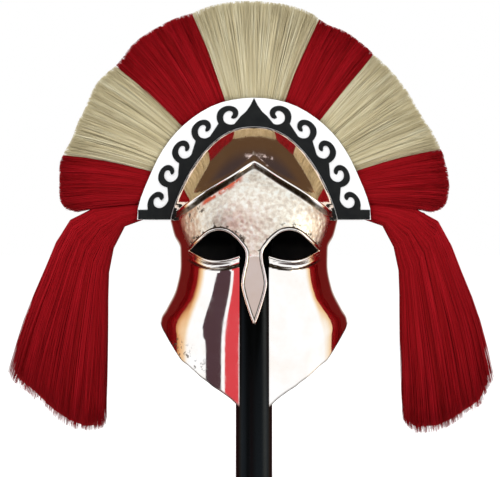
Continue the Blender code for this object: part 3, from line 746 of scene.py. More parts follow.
corner_of = read(shell_mesh.loops, "vertex_index")
sizes = read(shell_mesh.polygons, "loop_total")
flat_normals = read(shell_mesh.polygons, "normal", np.float32, 3)
face_of = np.repeat(np.arange(len(sizes)), sizes)
inner_corners = np.add.reduceat(corner_of >= count, np.concatenate([[0], np.cumsum(sizes)[:-1]]))
both_sides = np.vstack([outward, -outward])[corner_of]
on_rim = (inner_corners > 0) & (inner_corners < sizes)
chosen = np.where(on_rim[face_of, None], flat_normals[face_of], both_sides)
shell_mesh.normals_split_custom_set(chosen.tolist())
marks = {"hammered": hammered, "tarnish_and_shade": tarnish_and_shade, "worn": worn, "painted_red_reflection": painted_red_reflection, "tilt": tilt}
for name, values in marks.items():
    attribute(shell_mesh, name, np.tile(np.append(values[used], 0), 2))
piece(shell_mesh, "bronze", ["helmet_shell"], bronze, dark_inside_finish)
shell_mesh.polygons.foreach_set("material_index", (inner_corners == sizes).astype(np.int32))

# %% [markdown]
# A narrow raised edge runs round the eyes and the nasal. It stiffens the cut and catches the light.
# It is a half-round profile carried along the outline: at each point of the path the profile stands
# on the skin, its foot pointing into the metal.

# %% The raised edge
EDGE_PROFILE = {
    "into": (-0.0004, -0.0004, 0.0001, 0.0008, 0.0015, 0.0021, 0.0025, 0.0036, 0.0037),
    "up": (-0.0018, 0.0004, 0.0010, 0.0013, 0.0013, 0.0010, 0.0004, 0.0002, -0.0008),
    "tarnish_and_shade": (0.3, 0.1, 0.0, 0.0, 0.0, 0.1, 0.85, 1.0, 1.0),
}


def skin_at(x, height):
    """The skin's place and normal at an x and a height, with the lids' swelling left out."""
    turn = turn_at(x, height)
    return skin(turn, height), skin_normal(turn, height)


def sweep(name, path, profile, keep_side=None):
    """Carries a closed profile along a path on the skin: point + into * (normal x tangent) + up *
    normal, with both ends closed."""
    centre, up = skin_at(path[:, 0], path[:, 1])
    tangent = unit(np.gradient(centre, axis=0))
    into = unit(np.cross(up, tangent))
    rings = (centre[:, None] + np.array(profile["into"])[None, :, None] * into[:, None]
             + np.array(profile["up"])[None, :, None] * up[:, None])
    if keep_side is not None:
        side = np.sign(path[:, 0])[:, None]
        clamped = side * np.maximum(side * rings[..., 0], 0.0)
        rings[..., 0] = np.where(keep_side[:, None], clamped, rings[..., 0])
    count = len(profile["up"])
    sides = grid_faces(len(path), count, around=True)[:, ::-1]
    ends = np.array([np.arange(count), np.arange(count)[::-1] + (len(path) - 1) * count])
    return mesh_from(name, rings, [sides, ends])


round_eye = np.vstack([inner_edge, lower_lid[1:]])
rounded = round_eye.copy()
for _ in range(3):
    rounded[1:-1] = (rounded[:-2] + 2 * rounded[1:-1] + rounded[2:]) / 4
edge_path = np.vstack([mirrored(rounded), rounded])
on_nasal = (edge_path[:, 1] < NASAL_TIP + 0.03) & (np.abs(edge_path[:, 0]) < NASAL_HALF * 1.1)
edge_mesh = sweep("raised_edge", edge_path, EDGE_PROFILE, on_nasal)
# The raised edge's foot and its cut side: tarnish with painted shade in the groove beside it.
attribute(edge_mesh, "tarnish_and_shade", np.tile(EDGE_PROFILE["tarnish_and_shade"], len(edge_path)))
piece(edge_mesh, "bronze", [], bronze)

# %% [markdown]
# The crest is a pair of painted boards that stand across the skull. The black wave scroll is an old
# running pattern: one wave after another, each curling in on itself. One wave is charted round the
# middle of its curl, by angle and distance, and repeated along the arc.

# %% The crest's sizes
GAP = 0.0003
CREST_RADIUS = 0.1365
CREST_CENTRE = 0.219
CREST_END = 0.212
CREST_DEPTH = 0.044
CORE_DROP = 0.012
ROOT_THICK = 0.008
SCROLL_THICK = 0.001
SCROLL_BEVEL = 0.00015
CURL = 0.0116
CURL_CENTRES = (0.873, 0.860, 0.849, 0.848, 0.844)
CURL_FIRST = math.radians(13.3)
CURL_PITCH = math.radians(17.1)
TOOTH_HALF = 0.0155
TOOTH_FOOT = 0.840
END_STRIP = 0.0115
PLUME_RADIUS = 0.248
CURL_EDGE = {
    "turn": (-16, 33, 71, 113, 155, 193, 231, 277),
    "outer": (1.55, 1.33, 1.06, 0.91, 0.86, 0.73, 0.54, 0.27),
}
CURL_INSIDE = {
    "turn": (-100, -72, -37, 6, 51, 105, 156, 215),
    "inner": (0.97, 0.96, 0.96, 0.77, 0.55, 0.41, 0.27, 0.12),
}
BOARD_EDGE = {
    "angle": (0, 23, 52, 75, 90),
    "reach": (1.0, 0.946, 0.968, 0.991, 0.991),
}


def crest_point(radius, degrees_up):
    """A place on the crest, x and z: the arc is a little flat at the shoulders, and the flatness
    fades outward to the plume's edge."""
    radius, degrees_up = np.broadcast_arrays(np.asarray(radius, float), np.asarray(degrees_up, float))
    flat = 1 - through(np.minimum(degrees_up, 180 - degrees_up), BOARD_EDGE["angle"], BOARD_EDGE["reach"])
    fade_out = np.minimum(1.0, (PLUME_RADIUS - radius) / (PLUME_RADIUS - CREST_RADIUS))
    reach = radius * (1 - flat * fade_out)
    angle = np.radians(degrees_up)
    return np.stack([reach * np.cos(angle), CHEEK_TIP_Z + CREST_CENTRE + reach * np.sin(angle)], axis=-1)


# %% The wave scroll
def wave(number):
    """One wave: its inner line out to the curl's eye, then its outer line back, both as distance by
    angle through the charted places."""
    inner_turn = np.linspace(CURL_INSIDE["turn"][0], CURL_INSIDE["turn"][-1], 30)
    outer_turn = np.linspace(CURL_EDGE["turn"][-1], CURL_EDGE["turn"][0], 30)
    turn = np.concatenate([inner_turn, outer_turn])
    reach = np.concatenate([through(inner_turn, CURL_INSIDE["turn"], CURL_INSIDE["inner"]),
                            through(outer_turn, CURL_EDGE["turn"], CURL_EDGE["outer"])])
    radius = CURL_CENTRES[number] * CREST_RADIUS
    along = reach * CURL * np.cos(np.radians(turn))
    out = reach * CURL * np.sin(np.radians(turn))
    swing = CURL_FIRST + CURL_PITCH * number + along / radius
    return crest_point(radius + out, 90 - np.degrees(swing))


def inside_skull(x, y, z):
    """Whether places lie in the skull: |x/half|^n + |y/depth|^n below one."""
    half, front_depth, back_depth = plan(z - CHEEK_TIP_Z)
    power = FRONT_SQUARE if y < 0 else BACK_SQUARE
    depth = front_depth if y < 0 else back_depth
    return (np.abs(x) / np.maximum(half, 1e-6)) ** power + (abs(y) / np.maximum(depth, 1e-6)) ** power < 1


def skull_section(y, count=90):
    """The skull's outline in an upright plane: on rays from the crest's centre the distance is
    halved until the skin is found, and a gap is added."""
    end = CREST_END - CREST_CENTRE + GAP
    angle = np.linspace(math.asin(end / HALF_WIDTH), math.pi / 2, count)

    def on_rays(reach):
        """x and z at a distance along each ray."""
        return reach * np.cos(angle), CHEEK_TIP_Z + CREST_CENTRE + reach * np.sin(angle)

    def within(reach):
        """Whether that distance is still inside the skull."""
        x, z = on_rays(reach)
        return inside_skull(x, y, z)

    reach = halve(within, np.zeros(count), np.full(count, CREST_RADIUS), 30)[0] + 2 * GAP
    return np.stack(on_rays(reach), axis=1)


def scroll_half(y):
    """The right half of the scroll: middle tooth, waves, end strip, and back along the skull."""
    apex = crest_point(CREST_RADIUS - GAP, 90)[1]
    foot = crest_point(CREST_RADIUS * TOOTH_FOOT, 90)[1]
    tooth = np.array([(0, apex), (TOOTH_HALF * 0.27, apex + 0.40 * (foot - apex)),
                      (TOOTH_HALF * 0.60, apex + 0.74 * (foot - apex)), (TOOTH_HALF, foot)])
    strip = CHEEK_TIP_Z + CREST_END + END_STRIP
    waves = np.vstack([wave(number) for number in range(len(CURL_CENTRES))])
    waves = waves[waves[:, 1] > strip]
    edge_radius = CREST_RADIUS - 2 * GAP
    strip_angle = math.asin((strip - CHEEK_TIP_Z - CREST_CENTRE) / edge_radius)
    corner_at = crest_point(edge_radius, math.degrees(strip_angle))
    low_end = CHEEK_TIP_Z + CREST_END + GAP
    ends = np.array([(waves[-1, 0], strip), corner_at, (corner_at[0], low_end)])
    return np.vstack([tooth, waves, ends, skull_section(y)])


def flat_piece(name, outline, y, thickness, bevel):
    """A closed outline in x and z, filled, thickened about y and eased at its edges."""
    curve = bpy.data.curves.new(name, "CURVE")
    curve.dimensions = "2D"
    curve.fill_mode = "BOTH"
    curve.extrude = thickness / 2 - bevel
    curve.bevel_depth = bevel
    curve.bevel_resolution = 1
    curve.offset = -bevel
    spline = curve.splines.new("POLY")
    spline.points.add(len(outline) - 1)
    flat = np.column_stack([outline, np.zeros(len(outline)), np.ones(len(outline))])
    spline.points.foreach_set("co", flat.ravel())
    spline.use_cyclic_u = True
    standing = placed(name + "_line", curve)
    bpy.context.view_layer.update()
    mesh = bpy.data.meshes.new_from_object(standing.evaluated_get(bpy.context.evaluated_depsgraph_get()))
    bpy.data.objects.remove(standing, do_unlink=True)
    points = read(mesh.vertices, "co", np.float64, 3)
    mesh.vertices.foreach_set("co", stood(points[:, :2], y - points[:, 2]).ravel())
    mesh.name = name
    mesh.update()
    return mesh


# %% Materials: paint and wood
black_paint = clouded("scroll_paint", (0.013, 0.013, 0.012), 0.5, (120.0, 4.0),
                      ((0.3, (0.006, 0.0065, 0.006)), (0.8, (0.012, 0.0125, 0.011))),
                      (400.0, 0.15, 0.0004), specular=0.12)
white_paint = clouded("board_paint", (0.86, 0.86, 0.85), 0.45, (45.0, 5.0),
                      ((0.25, (0.80, 0.81, 0.82)), (0.7, (0.90, 0.90, 0.89))), (260.0, 0.12, 0.0005))
dark_wood = clouded("stained_wood", (0.03, 0.025, 0.02), 0.6, (60.0, 6.0),
                    ((0.3, (0.018, 0.013, 0.009)), (0.75, (0.055, 0.040, 0.028))), stretch=(1.0, 1.0, 9.0))

finishes = {"crest_front_board": white_paint, "crest_back_board": white_paint, "crest_core": dark_wood}
for name, finish in finishes.items():
    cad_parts[name].data.materials.clear()
    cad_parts[name].data.materials.append(finish)
for side, name in ((-1, "front"), (1, "back")):
    face_y = side * CREST_DEPTH / 2
    half_outline = scroll_half(face_y)
    outline = np.vstack([half_outline, mirrored(half_outline)[1:-1]])
    middle = face_y + side * (GAP + SCROLL_THICK / 2)
    mesh = flat_piece("wave_scroll_" + name, outline, middle, SCROLL_THICK, SCROLL_BEVEL)
    piece(mesh, "scroll_black", ["scroll_" + name], black_paint)

# %% [markdown]
# Horsehair stands in tufts, bound at the root and set between the boards. Seen close it is a dense
# body with single hairs lying over it, a little uneven in length, that part into points at the tips.
# So each tuft is made twice over: a filled body for mass, and about two thousand fine tapered tubes
# that follow the same flow and carry the light.

# %% Hair: tubes along many paths
def tubes(paths, radii, rng, sides=3):
    """Points and faces of a thin tube along every path at once: path + radius * (cos * a + sin * b),
    with a and b square to the path, and both ends closed."""
    count, steps = radii.shape
    tangent = unit(np.gradient(paths, axis=1))
    a = unit(np.cross(tangent, np.array([0.0, 1.0, 0.05])))
    b = np.cross(tangent, a)
    roll = rng.uniform(0, 2 * math.pi, (count, 1, 1)) + np.arange(sides) * 2 * math.pi / sides
    ring = (paths[:, :, None] + radii[:, :, None, None]
            * (np.cos(roll)[..., None] * a[:, :, None] + np.sin(roll)[..., None] * b[:, :, None]))
    side = grid_faces(steps, sides, around=True)
    base = (np.arange(count) * steps * sides)[:, None, None]
    walls = (side[None] + base).reshape(-1, 4)
    first = (np.arange(sides)[::-1][None] + base[:, 0]).reshape(-1, sides)
    last = (np.arange(sides)[None] + (steps - 1) * sides + base[:, 0]).reshape(-1, sides)
    return ring.reshape(-1, 3), walls, np.vstack([first, last])


def hair_body(across_line, deep_half, ring=40):
    """The closed mass of a bundle, row by row: across_line(s) gives the front places for shares s
    from one side to the other, and the ring is a squarish superellipse of that width and depth.
    Returns places, and the share across and the depth of each."""
    around = np.linspace(0, 2 * math.pi, ring, endpoint=False)
    wide, thick = signed_power(np.cos(around), 0.5), signed_power(np.sin(around), 0.5)
    share = (1 - wide) / 2
    return stood(across_line(share), deep_half[:, None] * thick), share, thick


def hair_mesh(name, body, body_share, body_thick, paths, radii, share, depth, rng):
    """Body and strands in one mesh. Each point keeps its share across, its depth and its way from
    root to tip, so that the colour can run along the hair."""
    rows, ring = body.shape[:2]
    body_points = np.vstack([body.reshape(-1, 3), body[0].mean(axis=0)[None], body[-1].mean(axis=0)[None]])
    body_faces = grid_faces(rows, ring, around=True)
    i = np.arange(ring)
    root_cap, tip_cap = cap(i[::-1], rows * ring), cap(i + (rows - 1) * ring, rows * ring + 1)
    points, walls, ends = tubes(paths, radii, rng)
    start = len(body_points)
    mesh = mesh_from(name, np.vstack([body_points, points]),
                     [np.vstack([body_faces, walls + start]), np.vstack([root_cap, tip_cap, ends + start])])
    steps = radii.shape[1]
    strands = len(paths)
    along = np.tile(np.repeat(np.linspace(0, 1, steps), 3), strands)
    tint = np.clip(rng.normal(0.5, 0.16, strands), 0, 1)
    for key, parts in {
        "along": (np.repeat(np.linspace(0, 1, rows), ring), [0, 1], along),
        "share": (np.tile(body_share, rows), [0.5, 0.5], np.repeat(share, steps * 3)),
        "depth": (np.tile(body_thick, rows), [0, 0], np.repeat(depth, steps * 3)),
        "tint": (np.full(start, 0.5), np.repeat(tint, steps * 3)),
    }.items():
        attribute(mesh, key, np.concatenate(parts))
    return mesh


# %% Hair: finishes
FINE_HAIRS = 85.0
TONE_STOPS = (0.36, 0.50, 0.64)


def hair_finish(name, tones, rough, specular, locks):
    """Streaks that run with the hair: fine noise and broad noise over the share across, both drawn
    out along the hair, plus each hair's own tint, choose the tone and a shallow bump."""
    made, tree, shader = new_finish(name, tones[1], rough)
    shader.inputs["Specular IOR Level"].default_value = specular

    def streaks(number, length):
        """Noise in a space stretched across, through and along the bundle."""
        x, y, z = (maths(tree, "MULTIPLY", marked(tree, key), times)
                   for key, times in (("share", number), ("depth", 1.7), ("along", length)))
        stretched = add_node(tree, "ShaderNodeCombineXYZ", X=x, Y=y, Z=z).outputs["Vector"]
        return noise(tree, stretched, 1.0, 2.0)

    fine, broad = streaks(FINE_HAIRS, 1.3), streaks(locks, 1.8)
    shade = maths(tree, "MULTIPLY_ADD", fine, 0.50, -0.01)
    shade = maths(tree, "MULTIPLY_ADD", broad, 0.42, shade)
    shade = maths(tree, "MULTIPLY_ADD", marked(tree, "tint"), 0.10, shade)
    feed(shader, Base_Color=ramp(tree, shade, *zip(TONE_STOPS, tones)),
         Normal=dented(tree, fine, 0.35, 0.0006))
    return made


RED_TONES = ((0.185, 0.0025, 0.0035), (0.275, 0.0035, 0.0070), (0.36, 0.006, 0.012))
CREAM_TONES = ((0.465, 0.395, 0.235), (0.60, 0.525, 0.330), (0.72, 0.665, 0.47))
hair = {
    "red": hair_finish("red_horsehair", RED_TONES, 0.5, 0.06, 9.0),
    "cream": hair_finish("cream_horsehair", CREAM_TONES, 0.55, 0.15, 8.0),
}
print("hair finishes made:", ", ".join(hair))

# %% The plume's tufts
PLUME_HALF_DEPTH = 0.027
TUFT_EDGES = {
    "root": (174, 157, 129, 104, 75, 55, 23, 6),
    "tip": (179.4, 163, 133, 107, 71.5, 53, 19, 0.6),
}
PLUME_EDGE = {
    "angle": (0.6, 1.8, 4.2, 8.5, 19, 31, 39, 52, 64, 68, 74, 80, 91, 99, 107, 123, 132, 139, 148,
              158, 163.5, 170, 176, 178.4, 179.4),
    "reach": (0.850, 0.893, 0.916, 0.933, 0.940, 0.922, 0.930, 0.943, 0.960, 0.957, 0.984, 0.995,
              1.001, 1.003, 0.993, 0.988, 0.962, 0.966, 0.945, 0.937, 0.951, 0.935, 0.918, 0.888, 0.850),
}
TUFT_COLOURS = ("red", "cream", "red", "cream", "red", "cream", "red")
TUFT_DEPTH = {"along": (0.0, 0.10, 0.45, 0.85, 1.0), "share": (0.58, 0.62, 0.92, 1.0, 0.97)}
TUFT_STRANDS = 2050
TUFT_STEPS = 6
HAIR_RADIUS = 0.00042
BODY_SHARE = 0.90  # the filled body's half depth, of the bundle's


def section_places(count, rng):
    """Places over a bundle's section, s across in 0..1 and d deep in -1..1: most of them lie near
    its front and back, where they show."""
    s = rng.uniform(0, 1, count)
    face = rng.choice([-1.0, 1.0], count) * (1 - 0.22 * rng.uniform(0, 1, count) ** 1.5)
    inner = rng.uniform(-0.85, 0.85, count)
    d = np.where(rng.uniform(0, 1, count) < 0.80, face, inner)
    edge_drop = 1 - 0.35 * np.abs(2 * s - 1) ** 6
    return s, d * edge_drop


def clumps(s, d, rng, number, pull):
    """Hairs lean together towards the tips: each goes a share of the way to the middle of the
    nearest of a few clumps."""
    middle = np.stack([rng.uniform(0, 1, number), rng.uniform(-1, 1, number)], axis=1)
    across, deep = s[:, None] - middle[None, :, 0], d[:, None] - middle[None, :, 1]
    nearest = np.hypot(across * 2, deep * 0.5).argmin(axis=1)
    longer = rng.uniform(-1, 1, number)[nearest]
    return (middle[nearest, 0] - s) * pull, longer


def deep_at(half, v, table):
    """Half depth at share v of the way to the tip."""
    return half * through(v, table["along"], table["share"])


def strand_shares(rng, count, steps, number, pull, length):
    """Where each strand lies in its bundle, how far it leans over, and its steps' shares of the way
    to the tip: length is the mean, what a clump adds or takes, and how early a strand may end."""
    s, d = section_places(count, rng)
    lean, longer = clumps(s, d, rng, number, pull)
    full = length[0] + length[1] * longer - length[2] * rng.uniform(0, 1, count) ** 2
    return s, d, lean, np.linspace(0, 1, steps)[None, :] * full[:, None]


def tuft(number):
    """Strands fan out from the root's span to the tip's: radius from the root to the plume's edge,
    angle between the two sides, depth by the table, with a slight wave."""
    rng = np.random.default_rng(100 + number)
    colour = TUFT_COLOURS[number]
    root, tip = (TUFT_EDGES[key][number:number + 2] for key in ("root", "tip"))
    start = CREST_RADIUS - CORE_DROP + GAP * 2

    def fan(spread, v):
        """The angle and radius at share v of the way to the edge."""
        end = tip[0] + (tip[1] - tip[0]) * spread
        angle = (root[0] + (root[1] - root[0]) * spread) * (1 - v) + end * v
        full = PLUME_RADIUS * through(np.clip(end, 0.6, 179.4), PLUME_EDGE["angle"], PLUME_EDGE["reach"])
        return angle, start + (full - start) * v

    s, d, lean, v = strand_shares(rng, TUFT_STRANDS, TUFT_STEPS, 60, 0.10, (0.997, 0.003, 0.014))
    spread = s[:, None] + lean[:, None] * v**2 + rng.normal(0, 0.004, (len(s), 1)) * v
    angle, radius = fan(spread, v)
    angle = angle + rng.normal(0, 0.22, (len(s), 1)) * np.sin(v * math.pi * 1.2)
    flat_place = crest_point(radius, angle)
    deep = deep_at(PLUME_HALF_DEPTH - HAIR_RADIUS, v, TUFT_DEPTH) * d[:, None]
    deep += rng.normal(0, 0.0005, (len(s), 1)) * v
    paths = stood(flat_place, deep)
    radii = HAIR_RADIUS * (1.05 - 0.65 * v**3) * rng.uniform(0.75, 1.25, (len(s), 1))

    rows = np.array([0.0, 0.04, 0.12, 0.3, 0.5, 0.7, 0.85, 0.94, 0.975, 0.986])
    narrow = np.array([0.97] * 7 + [0.96, 0.92, 0.80])
    deep_half = deep_at(PLUME_HALF_DEPTH * BODY_SHARE, rows, TUFT_DEPTH) * narrow

    def across_line(share):
        """The body's front places, drawn in a little towards its ends."""
        body_angle, body_radius = fan(0.5 + (share[None] - 0.5) * narrow[:, None], rows[:, None])
        return crest_point(body_radius, body_angle)

    body, body_share, body_thick = hair_body(across_line, deep_half)
    mesh = hair_mesh(f"plume_tuft_{number + 1}_{colour}", body, body_share, body_thick, paths, radii, s, d, rng)
    piece(mesh, "hair_" + colour, [f"plume_{number + 1}_{colour}"], hair[colour])


for number in range(len(TUFT_COLOURS)):
    tuft(number)

# %% [markdown]
# From each end of the crest a long tail leaves sideways, bends over and hangs. Its hairs follow two
# drawn edges, the outer and the inner side of the tail, and each keeps its own share between them.

# %% The tails
TAIL_SPREAD = 0.155
TAIL_DROP = 0.257
TAIL_HALF_DEPTH = 0.027
TAIL_FROM = 174.4
TAIL_TO = 182.4
TAIL_EDGES = {
    "left_out": (0.22, 0.425, 0.565, 0.675, 0.845, 0.985),
    "left_down": (-0.035, -0.008, 0.074, 0.222, 0.471, 0.743),
    "right_out": (0.22, 0.425, 0.560, 0.660, 0.820, 0.950),
    "right_down": (-0.035, -0.008, 0.074, 0.222, 0.471, 0.785),
    "inner_out": (0.07, 0.142, 0.200, 0.232, 0.240, 0.255),
    "inner_down": (0.035, 0.089, 0.167, 0.276, 0.568, 0.975),
}
TAIL_END = {
    "share": (0.0, 0.08, 0.20, 0.40, 0.60, 0.80, 0.93, 1.0),
    "left": (0.985, 1.012, 1.016, 1.042, 1.068, 1.060, 1.030, 1.005),
    "right": (0.975, 1.000, 1.048, 1.066, 1.080, 1.055, 1.030, 0.990),
}
TAIL_DEPTH = {"along": (0.0, 0.12, 0.30, 0.5, 0.85, 1.0), "share": (0.60, 0.66, 0.86, 0.96, 1.0, 0.92)}
TAIL_STRANDS = 2250
TAIL_STEPS = 10


def tail_edge(kind, start_degrees):
    """One drawn edge of a tail, as if on the left, from its root to a little past its end."""
    root = crest_point(CREST_RADIUS - CORE_DROP + ROOT_THICK / 4, start_degrees)
    out = np.array(TAIL_EDGES[kind + "_out"]) * TAIL_SPREAD
    down = np.array(TAIL_EDGES[kind + "_down"]) * TAIL_DROP
    marks = np.stack([-CREST_RADIUS - out, CHEEK_TIP_Z + CREST_CENTRE - down], axis=1)
    line = smooth_line(np.vstack([root[None], marks]))
    line = np.vstack([line, line[-1] + (line[-1] - line[-12]) * np.array([[1], [2], [3], [4]])])
    even = np.concatenate([np.linspace(0, 1, len(line) - 4), 1 + np.arange(1, 5) * 11 / (len(line) - 5)])
    return lambda at: np.stack([np.interp(at, even, line[:, k]) for k in range(2)], axis=-1)


def tail(side, name):
    """Each hair lies between the tail's two edges at its own share, ends on a rounded line, a
    little early or late, and waves slowly on its way down."""
    rng = np.random.default_rng(300 + side)
    hand = "left" if side < 0 else "right"
    outer, inner = tail_edge(hand, TAIL_FROM + 0.3), tail_edge("inner", TAIL_TO - 0.3)

    def place_at(share, v):
        """The place at share v of the hair's own length."""
        at = v * through(np.clip(share, 0, 1), TAIL_END["share"], TAIL_END[hand])
        return outer(at) * (1 - share[..., None]) + inner(at) * share[..., None]

    s, d, lean, v = strand_shares(rng, TAIL_STRANDS, TAIL_STEPS, 70, 0.14, (0.990, 0.010, 0.035))
    wave_at = np.sin(v * rng.uniform(2.5, 5.5, (len(s), 1)) + rng.uniform(0, 6.28, (len(s), 1)))
    slow_wave = np.sin(5.0 * v + 7.0 * s[:, None] + 1.5 * side) * (1 - s[:, None]) * s[:, None]
    share = s[:, None] + lean[:, None] * v**2 + (0.010 * wave_at + 0.05 * slow_wave) * v
    flat_place = place_at(share, v)
    deep = deep_at(TAIL_HALF_DEPTH - HAIR_RADIUS, v, TAIL_DEPTH) * d[:, None]
    deep = deep + 0.0006 * wave_at * v
    paths = stood(flat_place, deep)
    radii = HAIR_RADIUS * (1.10 - 0.86 * v**4) * rng.uniform(0.75, 1.25, (len(s), 1))

    rows = np.array([0.0, 0.04, 0.10, 0.18, 0.26, 0.34, 0.44, 0.56, 0.7, 0.82, 0.92, 0.958, 0.974])
    narrow = np.array([0.95] * 10 + [0.94, 0.90, 0.80])
    deep_half = deep_at(TAIL_HALF_DEPTH * BODY_SHARE, rows, TAIL_DEPTH) * narrow
    body, body_share, body_thick = hair_body(
        lambda share: place_at(0.5 + (share[None] - 0.5) * narrow[:, None], rows[:, None]), deep_half)
    if side > 0:
        paths, body = paths * (-1, 1, 1), (body * (-1, 1, 1))[:, ::-1]
        body_share, body_thick = body_share[::-1], body_thick[::-1]
    mesh = hair_mesh("horsehair_" + name, body, body_share, body_thick, paths, radii, s, d, rng)
    piece(mesh, "hair_red", [name], hair["red"])


tail(-1, "tail_left")
tail(1, "tail_right")

# %% [markdown]
# The stand is turned: a round foot, a straight post and a rounded head that carries the crown from
# inside. A turned shape is one profile carried round an axis.

# %% The stand
FOOT_RADIUS = 0.130
FOOT_HEIGHT = 0.018
FOOT_EDGE = 0.003
POST_RADIUS = 0.0215
HEAD_RADIUS = 0.040
HEAD_EASE = 0.005
HEAD_EDGE = 0.006
HEAD_NECK = 0.022


def turned(name, profile, steps):
    """A profile of radius and height, from the axis at the top to the axis below, carried round Z
    with both poles closed."""
    profile = np.asarray(profile, float)
    angle = np.linspace(0, 2 * math.pi, steps, endpoint=False)
    inner = profile[1:-1]
    rings = np.stack([inner[:, None, 0] * np.cos(angle), inner[:, None, 0] * np.sin(angle),
                      np.broadcast_to(inner[:, None, 1], (len(inner), steps))], axis=-1)
    points = np.vstack([rings.reshape(-1, 3), [[0, 0, profile[0, 1]], [0, 0, profile[-1, 1]]]])
    i = np.arange(steps)
    caps = np.vstack([cap(i, len(points) - 2), cap(i[::-1] + (len(inner) - 1) * steps, len(points) - 1)])
    mesh = mesh_from(name, points, [grid_faces(len(inner), steps, around=True)[:, ::-1], caps])
    mesh.set_sharp_from_angle(angle=math.radians(50))
    return mesh


lacquer = clouded("black_lacquer", (0.0022, 0.0028, 0.0030), 0.32, (30.0, 4.0),
                  ((0.3, (0.24,)), (0.8, (0.36,))), (180.0, 0.08, 0.0005), specular=0.09, feeds="Roughness")
corner_angle = np.linspace(0, math.pi / 2, 7)
foot_round = np.stack([FOOT_RADIUS - FOOT_EDGE + FOOT_EDGE * np.sin(corner_angle),
                       FOOT_HEIGHT - FOOT_EDGE + FOOT_EDGE * np.cos(corner_angle)], axis=1)
foot_top = [(0, FOOT_HEIGHT), (FOOT_RADIUS * 0.5, FOOT_HEIGHT)]
foot_profile = np.vstack([foot_top, foot_round, [(FOOT_RADIUS, 0), (0, 0)]])
piece(turned("round_foot", foot_profile, 128), "stand_black", ["stand_foot"], lacquer)

share = np.linspace(0, 1, 13)
head_radius = share * HEAD_RADIUS
crown_drop = CROWN_HEIGHT * (1 - (head_radius / HALF_WIDTH) ** CROWN_WIDTH[1]) ** (1 / CROWN_WIDTH[0])
head_top = CHEEK_TIP_Z + EQUATOR_HEIGHT - WALL - 3 * GAP + crown_drop - HEAD_EASE * share**2
head_low = head_top[-1] - HEAD_EDGE
post_foot = FOOT_HEIGHT + GAP
neck = [(HEAD_RADIUS, head_low), (POST_RADIUS, head_low - HEAD_NECK), (POST_RADIUS, post_foot), (0, post_foot)]
post_profile = np.vstack([np.stack([head_radius, head_top], axis=1), neck])
piece(turned("post", post_profile, 96), "stand_black", ["stand_post"], lacquer)

# %% [markdown]
# A polished helmet shows its room more than itself. The room here is plain: a pale floor and soft
# white light, with a dim ceiling that the dome mirrors, a red and a dark curtain to the left, and a
# warm glow beyond the sides that sinks from gold to deep red. Only mirrored rays see it so; every
# other ray finds even white.

# %% The floor and the world
FLOOR_HALF = 30.0
floor_corners = [(x * FLOOR_HALF, y * FLOOR_HALF, 0) for x, y in ((-1, -1), (1, -1), (1, 1), (-1, 1))]
floor_mesh = mesh_from("studio_floor", floor_corners, [[[0, 1, 2, 3]]], smooth=False)
floor = placed("studio_floor", floor_mesh)
floor_finish, tree, shader = new_finish("pale_floor", (0.93, 0.93, 0.93), 0.9)
shader.inputs["Specular IOR Level"].default_value = 0.0
shader.inputs["Emission Color"].default_value = (1, 1, 1, 1)
shader.inputs["Emission Strength"].default_value = 0.12
floor_mesh.materials.append(floor_finish)
floor.visible_glossy = False

world = bpy.data.worlds.new("studio_room")
bpy.context.scene.world = world
world.use_nodes = True
tree = world.node_tree
background = tree.nodes["Background"]
toward = tree.nodes.new("ShaderNodeTexCoord").outputs["Generated"]
x_way, y_way, z_way = add_node(tree, "ShaderNodeSeparateXYZ", Vector=toward).outputs


def onset(value, low, high):
    """0 below low and 1 above high, eased between; the ends may be swapped."""
    return add_node(tree, "ShaderNodeMapRange", {"interpolation_type": "SMOOTHSTEP"},
                    i0=value, i1=low, i2=high).outputs[0]


def product_of(first, *others):
    """The product of sockets and numbers."""
    for value in others:
        first = maths(tree, "MULTIPLY", first, value)
    return first


# %% The room by bearing and height
# A bearing is the angle in degrees from the camera's side, left negative.
bearing_way = product_of(maths(tree, "ARCTAN2", x_way, product_of(y_way, -1.0)), math.degrees(1))
aside = maths(tree, "ABSOLUTE", bearing_way)
warm_aside = maths(tree, "ABSOLUTE", maths(tree, "SUBTRACT", bearing_way, 4.0))
under_ceiling = maths(tree, "MULTIPLY_ADD", maths(tree, "MINIMUM", aside, 110.0), 0.0052, z_way)
under_ceiling = maths(tree, "MULTIPLY_ADD", onset(aside, 138.0, 165.0), -0.45, under_ceiling)


def strip(low, high, soft, bottom, top):
    """A tall strip of the room between two bearings and between two heights."""
    return product_of(onset(bearing_way, low - soft, low + soft), onset(bearing_way, high + soft, high - soft),
                      onset(z_way, bottom - 0.03, bottom + 0.01), onset(z_way, top + 0.03, top - 0.01))


STRIP_FOOT, STRIP_TOP = -0.40, 0.235
widening = product_of(add_node(tree, "ShaderNodeMapRange", i0=z_way, i1=0.0, i2=0.14).outputs[0], 10.0)
curtain_edge = onset(maths(tree, "ADD", bearing_way, widening), -51.5, -50.0)
room = blend(tree, onset(z_way, 0.85, 0.99), (1.15, 1.42, 1.74), (1.0, 1.1, 1.2))
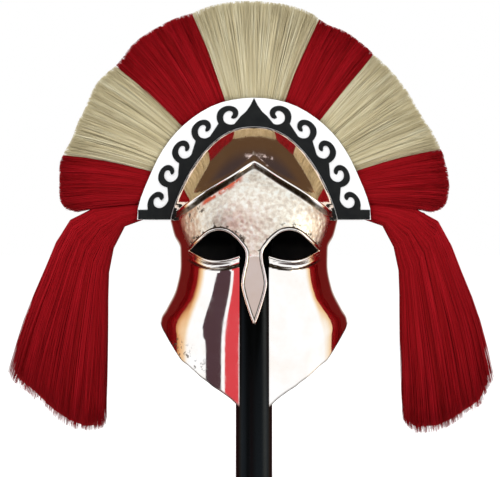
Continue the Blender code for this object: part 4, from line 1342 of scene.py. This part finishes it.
# Each strip is laid over those before it: the grey behind the viewer, the red and the dark curtain,
# the glow in four steps, the pale back of the room and the shade under it.
for share, colour in (
    (strip(-8.0, 8.0, 1.5, STRIP_FOOT, 0.005), (0.68, 0.70, 0.80)),
    (strip(-23.0, -8.5, 0.7, STRIP_FOOT, STRIP_TOP), (0.78, 0.085, 0.125)),
    (product_of(curtain_edge, strip(-70.0, -27.5, 0.8, STRIP_FOOT, STRIP_TOP)), (0.090, 0.058, 0.085)),
    (onset(warm_aside, 90.0, 103.0), (1.04, 1.02, 0.84)),
    (onset(warm_aside, 97.0, 111.0), (0.88, 0.56, 0.27)),
    (onset(warm_aside, 105.0, 119.0), (0.30, 0.030, 0.022)),
    (onset(warm_aside, 117.0, 131.0), (0.155, 0.011, 0.011)),
    (onset(aside, 160.0, 174.0), (0.75, 0.66, 0.60)),
    (product_of(onset(z_way, -0.20, -0.42), onset(y_way, -0.12, -0.36)), (0.050, 0.042, 0.026)),
):
    room = blend(tree, share, room, colour)

patches = noise(tree, toward, 9.0, 3.0, 0.6)
lights = product_of(onset(patches, 0.40, 0.56), onset(z_way, 0.93, 0.95), onset(x_way, -0.10, -0.08),
                    onset(x_way, 0.28, 0.26), onset(y_way, -0.12, -0.10), onset(y_way, -0.05, -0.07))
ceiling = blend(tree, onset(y_way, -0.22, 0.12), (0.066, 0.052, 0.056), (0.118, 0.076, 0.044))
ceiling = blend(tree, lights, ceiling, (1.3, 1.3, 1.5))
room = blend(tree, onset(under_ceiling, 0.925, 1.06), room, ceiling)
room = blend(tree, strip(62.0, 86.0, 5.0, -0.5, -0.06), room, (4.4, 4.6, 4.3))
glossy = tree.nodes.new("ShaderNodeLightPath").outputs["Is Glossy Ray"]
tree.links.new(blend(tree, glossy, (1.0, 1.0, 1.0), room), background.inputs["Color"])
background.inputs["Strength"].default_value = 1.0
print("room made")

# %% Lamps
AIM = np.array([0.0, 0.0, 0.35])


def lamp(name, place_at, size, power):
    """A square soft light that polished metal doesn't show."""
    data = bpy.data.lights.new(name, "AREA")
    data.shape, data.size, data.energy = "SQUARE", size, power
    obj = placed(name, data)
    obj.location = place_at
    x, y, z = AIM - np.array(place_at)
    obj.rotation_euler = (math.atan2(math.hypot(x, y), -z), 0, math.atan2(x, -y) + math.pi)
    obj.visible_glossy = False


lamp("key_light", (-1.4, -2.2, 2.2), 1.2, 26.0)
lamp("fill_light", (1.8, -1.8, 1.4), 1.5, 12.0)
lamp("back_light", (0.6, 2.4, 2.0), 1.5, 14.0)
bpy.context.scene.view_settings.view_transform = "Standard"
print("lamps placed")
